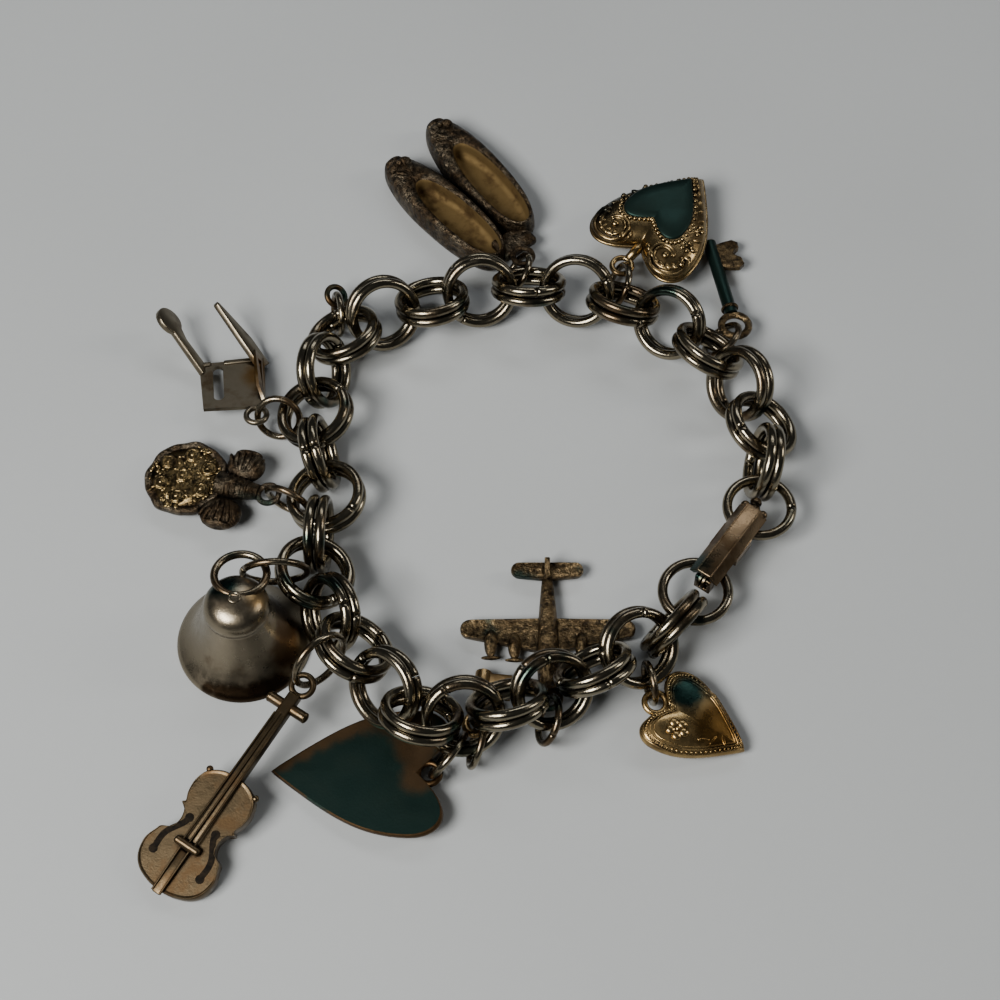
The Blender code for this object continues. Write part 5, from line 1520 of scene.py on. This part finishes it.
class ChairOperator(bpy.types.Operator):
    """Make the sheet-metal chair lying on its back"""

    bl_idname = "bracelet.chair"
    bl_label = "Chair"

    def execute(self, context):
        layout = Layout()
        clay = Clay()
        start = EYE_REACH
        end = start + CHAIR_SEAT
        low, high = -CHAIR_SIDE * 0.15, CHAIR_SIDE * 0.85
        half = CHAIR_PLATE / 2
        self.plate(clay, start, end, low, high, half)
        for edge, hooked in ((low, False), (high - CHAIR_PLATE, True)):
            self.leg(clay, end, edge, hooked)
        eye(clay)
        clay.piece("little_chair", [chair_metal(layout)], layout.charm("chair"), ["chair"], sharp=40)
        return {"FINISHED"}

    @staticmethod
    def plate(clay, start, end, low, high, half):
        """The seat with its long slot, the folded side on its right and the turned-down far edge."""
        outline = [(start, low), (end, low - 0.2 * MM), (end, high), (start + 0.5 * MM, high - 0.3 * MM)]
        middle, reach = CHAIR_SIDE * 0.56, 0.62 * MM
        near, far = start + 2.3 * MM, end - 1.3 * MM
        slot = []
        for step in range(20):
            turn = 2 * math.pi * (step + 0.5) / 20
            along = far if math.cos(turn) > 0 else near
            slot.append((along + reach * math.cos(turn), middle + reach * math.sin(turn)))
        clay.pierced(outline, slot, -half * 0.7, half * 0.7)
        clay.box((end - 0.55 * MM, middle + 0.75 * MM, -half), (end + 0.1 * MM, high, half * 1.3), 0.16 * MM)
        clay.box((end - 0.55 * MM, low, -half), (end + 0.1 * MM, middle - 0.75 * MM, half * 1.3), 0.16 * MM)
        upright = Matrix.Rotation(math.radians(68.0), 4, "X")
        folded = Matrix.Translation((0, low + 0.1 * MM, half * 0.5)) @ upright
        side = [(start + 0.5 * MM, 0.0), (end, 0.0), (end - 0.2 * MM, 1.9 * MM), (start + 2.2 * MM, 1.5 * MM)]
        gap = [(start + 2.4 * MM, 0.5 * MM), (end - 1.0 * MM, 0.5 * MM), (end - 1.2 * MM, 1.35 * MM)]
        clay.pierced(side, gap, -half * 0.5, half * 0.5, folded)

    @staticmethod
    def leg(clay, end, edge, hooked):
        """A sheet leg raised from the seat's far corner, ending in a round foot or in a point."""
        if hooked:
            outline = [(0.0, 0.0), (1.6 * MM, 0.0), (1.5 * MM, CHAIR_LEG * 0.6)]
            foot = CHAIR_FOOT * 0.62
            for step in range(16):
                turn = math.radians(-60.0 + 20.0 * step)
                outline.append((1.1 * MM + foot * math.cos(turn), CHAIR_LEG + foot * math.sin(turn)))
        else:
            outline = [(across * MM, CHAIR_LEG * along) for across, along in (
                (0.0, 0.0), (2.2, 0.0), (2.3, 0.5), (1.6, 0.9), (1.0, 1.22), (0.7, 1.26), (0.4, 1.22),
                (0.1, 0.5))]
        turn = Matrix.Rotation(math.radians(90.0 - CHAIR_LEG_SPLAY), 4, "X")
        lean = Matrix.Rotation(math.radians(-CHAIR_LEG_LEAN), 4, "Z")
        place = Matrix.Translation((end - 1.8 * MM, edge + CHAIR_PLATE, 0.0)) @ turn @ lean
        clay.rounded(clay.stacked(outline, [(1.0, 0.0), (1.0, CHAIR_PLATE)], place), 0.12 * MM, 2)


class BellOperator(bpy.types.Operator):
    """Make the bell with its bail, and the ball drop"""

    bl_idname = "bracelet.bell"
    bl_label = "Bell and ball"

    def execute(self, context):
        layout = Layout()
        clay = Clay()
        outer = self.profile(0.0)
        inner = self.profile(BELL_WALL)
        clay.turned(outer + list(reversed(inner)), sides=96)
        clay.slot = 1
        clay.ring(BELL_BAIL, BELL_BAIL_WIRE, bail_matrix())
        clay.slot = 0
        clay.ring(1.5 * MM, 0.35 * MM, Matrix.Translation((0, 0, BELL_HEIGHT - 0.05 * MM)), 28, 10)
        clay.piece("little_bell", [bell_metal(layout), "jump ring metal"], layout.charm("bell"),
                   ["bell"], sharp=60)
        self.ball(layout)
        return {"FINISHED"}

    @staticmethod
    def profile(inset):
        """The bell's outline from mouth to crown as (radius, height), drawn in by a wall."""
        stations = [  # share of the mouth's radius, share of the height
            (1.00, 0.000), (1.00, 0.018), (0.985, 0.05), (0.94, 0.08), (0.88, 0.12), (0.80, 0.18),
            (0.72, 0.26), (0.65, 0.35), (0.59, 0.46), (0.54, 0.57), (0.505, 0.66), (0.485, 0.71),
            (0.475, 0.735), (0.49, 0.76), (0.485, 0.82), (0.44, 0.89), (0.36, 0.945), (0.25, 0.98),
            (0.12, 0.997), (0.00, 1.000),
        ]
        mouth = BELL_MOUTH / 2
        points = []
        for radius, height in stations:
            sunk = inset if radius < 0.45 else 0.0
            points.append((max(mouth * radius - inset, 0.0), BELL_HEIGHT * height - sunk * (1 - radius)))
        return points

    @staticmethod
    def ball(layout):
        clay = Clay()
        centre = EYE_OUTER / 2 + BALL_WIDTH / 2 - 0.3 * MM
        clay.pebble((centre, 0, 0), (BALL_WIDTH, BALL_WIDTH, BALL_WIDTH), columns=32, rows=20)
        clay.ring(0.9 * MM, 0.25 * MM, Matrix.Translation((centre - BALL_WIDTH * 0.46, 0, 0))
                  @ Matrix.Rotation(math.pi / 2, 4, "Y"), 20, 8)
        eye(clay)
        clay.piece("little_ball", ["dark charm metal"], layout.charm("ball_drop"), ["ball_drop"])


class BraceletPanel(bpy.types.Panel):
    """The bracelet's operators and values in the sidebar"""

    bl_idname = "VIEW3D_PT_bracelet"
    bl_label = "Bracelet"
    bl_space_type = "VIEW_3D"
    bl_region_type = "UI"
    bl_category = "Bracelet"

    def draw(self, context):
        column = self.layout.column()
        for group in (sizes(), colours(), light()):
            for name in group.__annotations__:
                column.prop(group, name)
        for operator in OPERATORS:
            column.operator(operator.bl_idname)


GROUPS = (BraceletSizes, BraceletColours, BraceletLight)
OPERATORS = (StageOperator, ChainOperator, JumpRingsOperator, ClaspOperator, HeartsOperator, SlippersOperator,
             KeysOperator, ViolinOperator, AirplaneOperator, BouquetOperator, ChairOperator, BellOperator)


def register():
    for made in GROUPS + OPERATORS + (BraceletPanel,):
        bpy.utils.register_class(made)
    bpy.types.Scene.bracelet_sizes = PointerProperty(type=BraceletSizes)
    bpy.types.Scene.bracelet_colours = PointerProperty(type=BraceletColours)
    bpy.types.Scene.bracelet_light = PointerProperty(type=BraceletLight)


def unregister():
    del bpy.types.Scene.bracelet_sizes
    del bpy.types.Scene.bracelet_colours
    del bpy.types.Scene.bracelet_light
    for made in reversed(GROUPS + OPERATORS + (BraceletPanel,)):
        bpy.utils.unregister_class(made)


def main():
    register()
    bpy.ops.bracelet.stage()
    bpy.ops.bracelet.chain()
    bpy.ops.bracelet.jump_rings()
    bpy.ops.bracelet.clasp()
    bpy.ops.bracelet.hearts()
    bpy.ops.bracelet.slippers()
    bpy.ops.bracelet.keys()
    bpy.ops.bracelet.violin()
    bpy.ops.bracelet.airplane()
    bpy.ops.bracelet.bouquet()
    bpy.ops.bracelet.chair()
    bpy.ops.bracelet.bell()
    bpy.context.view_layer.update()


if __name__ == "__main__":
    main()
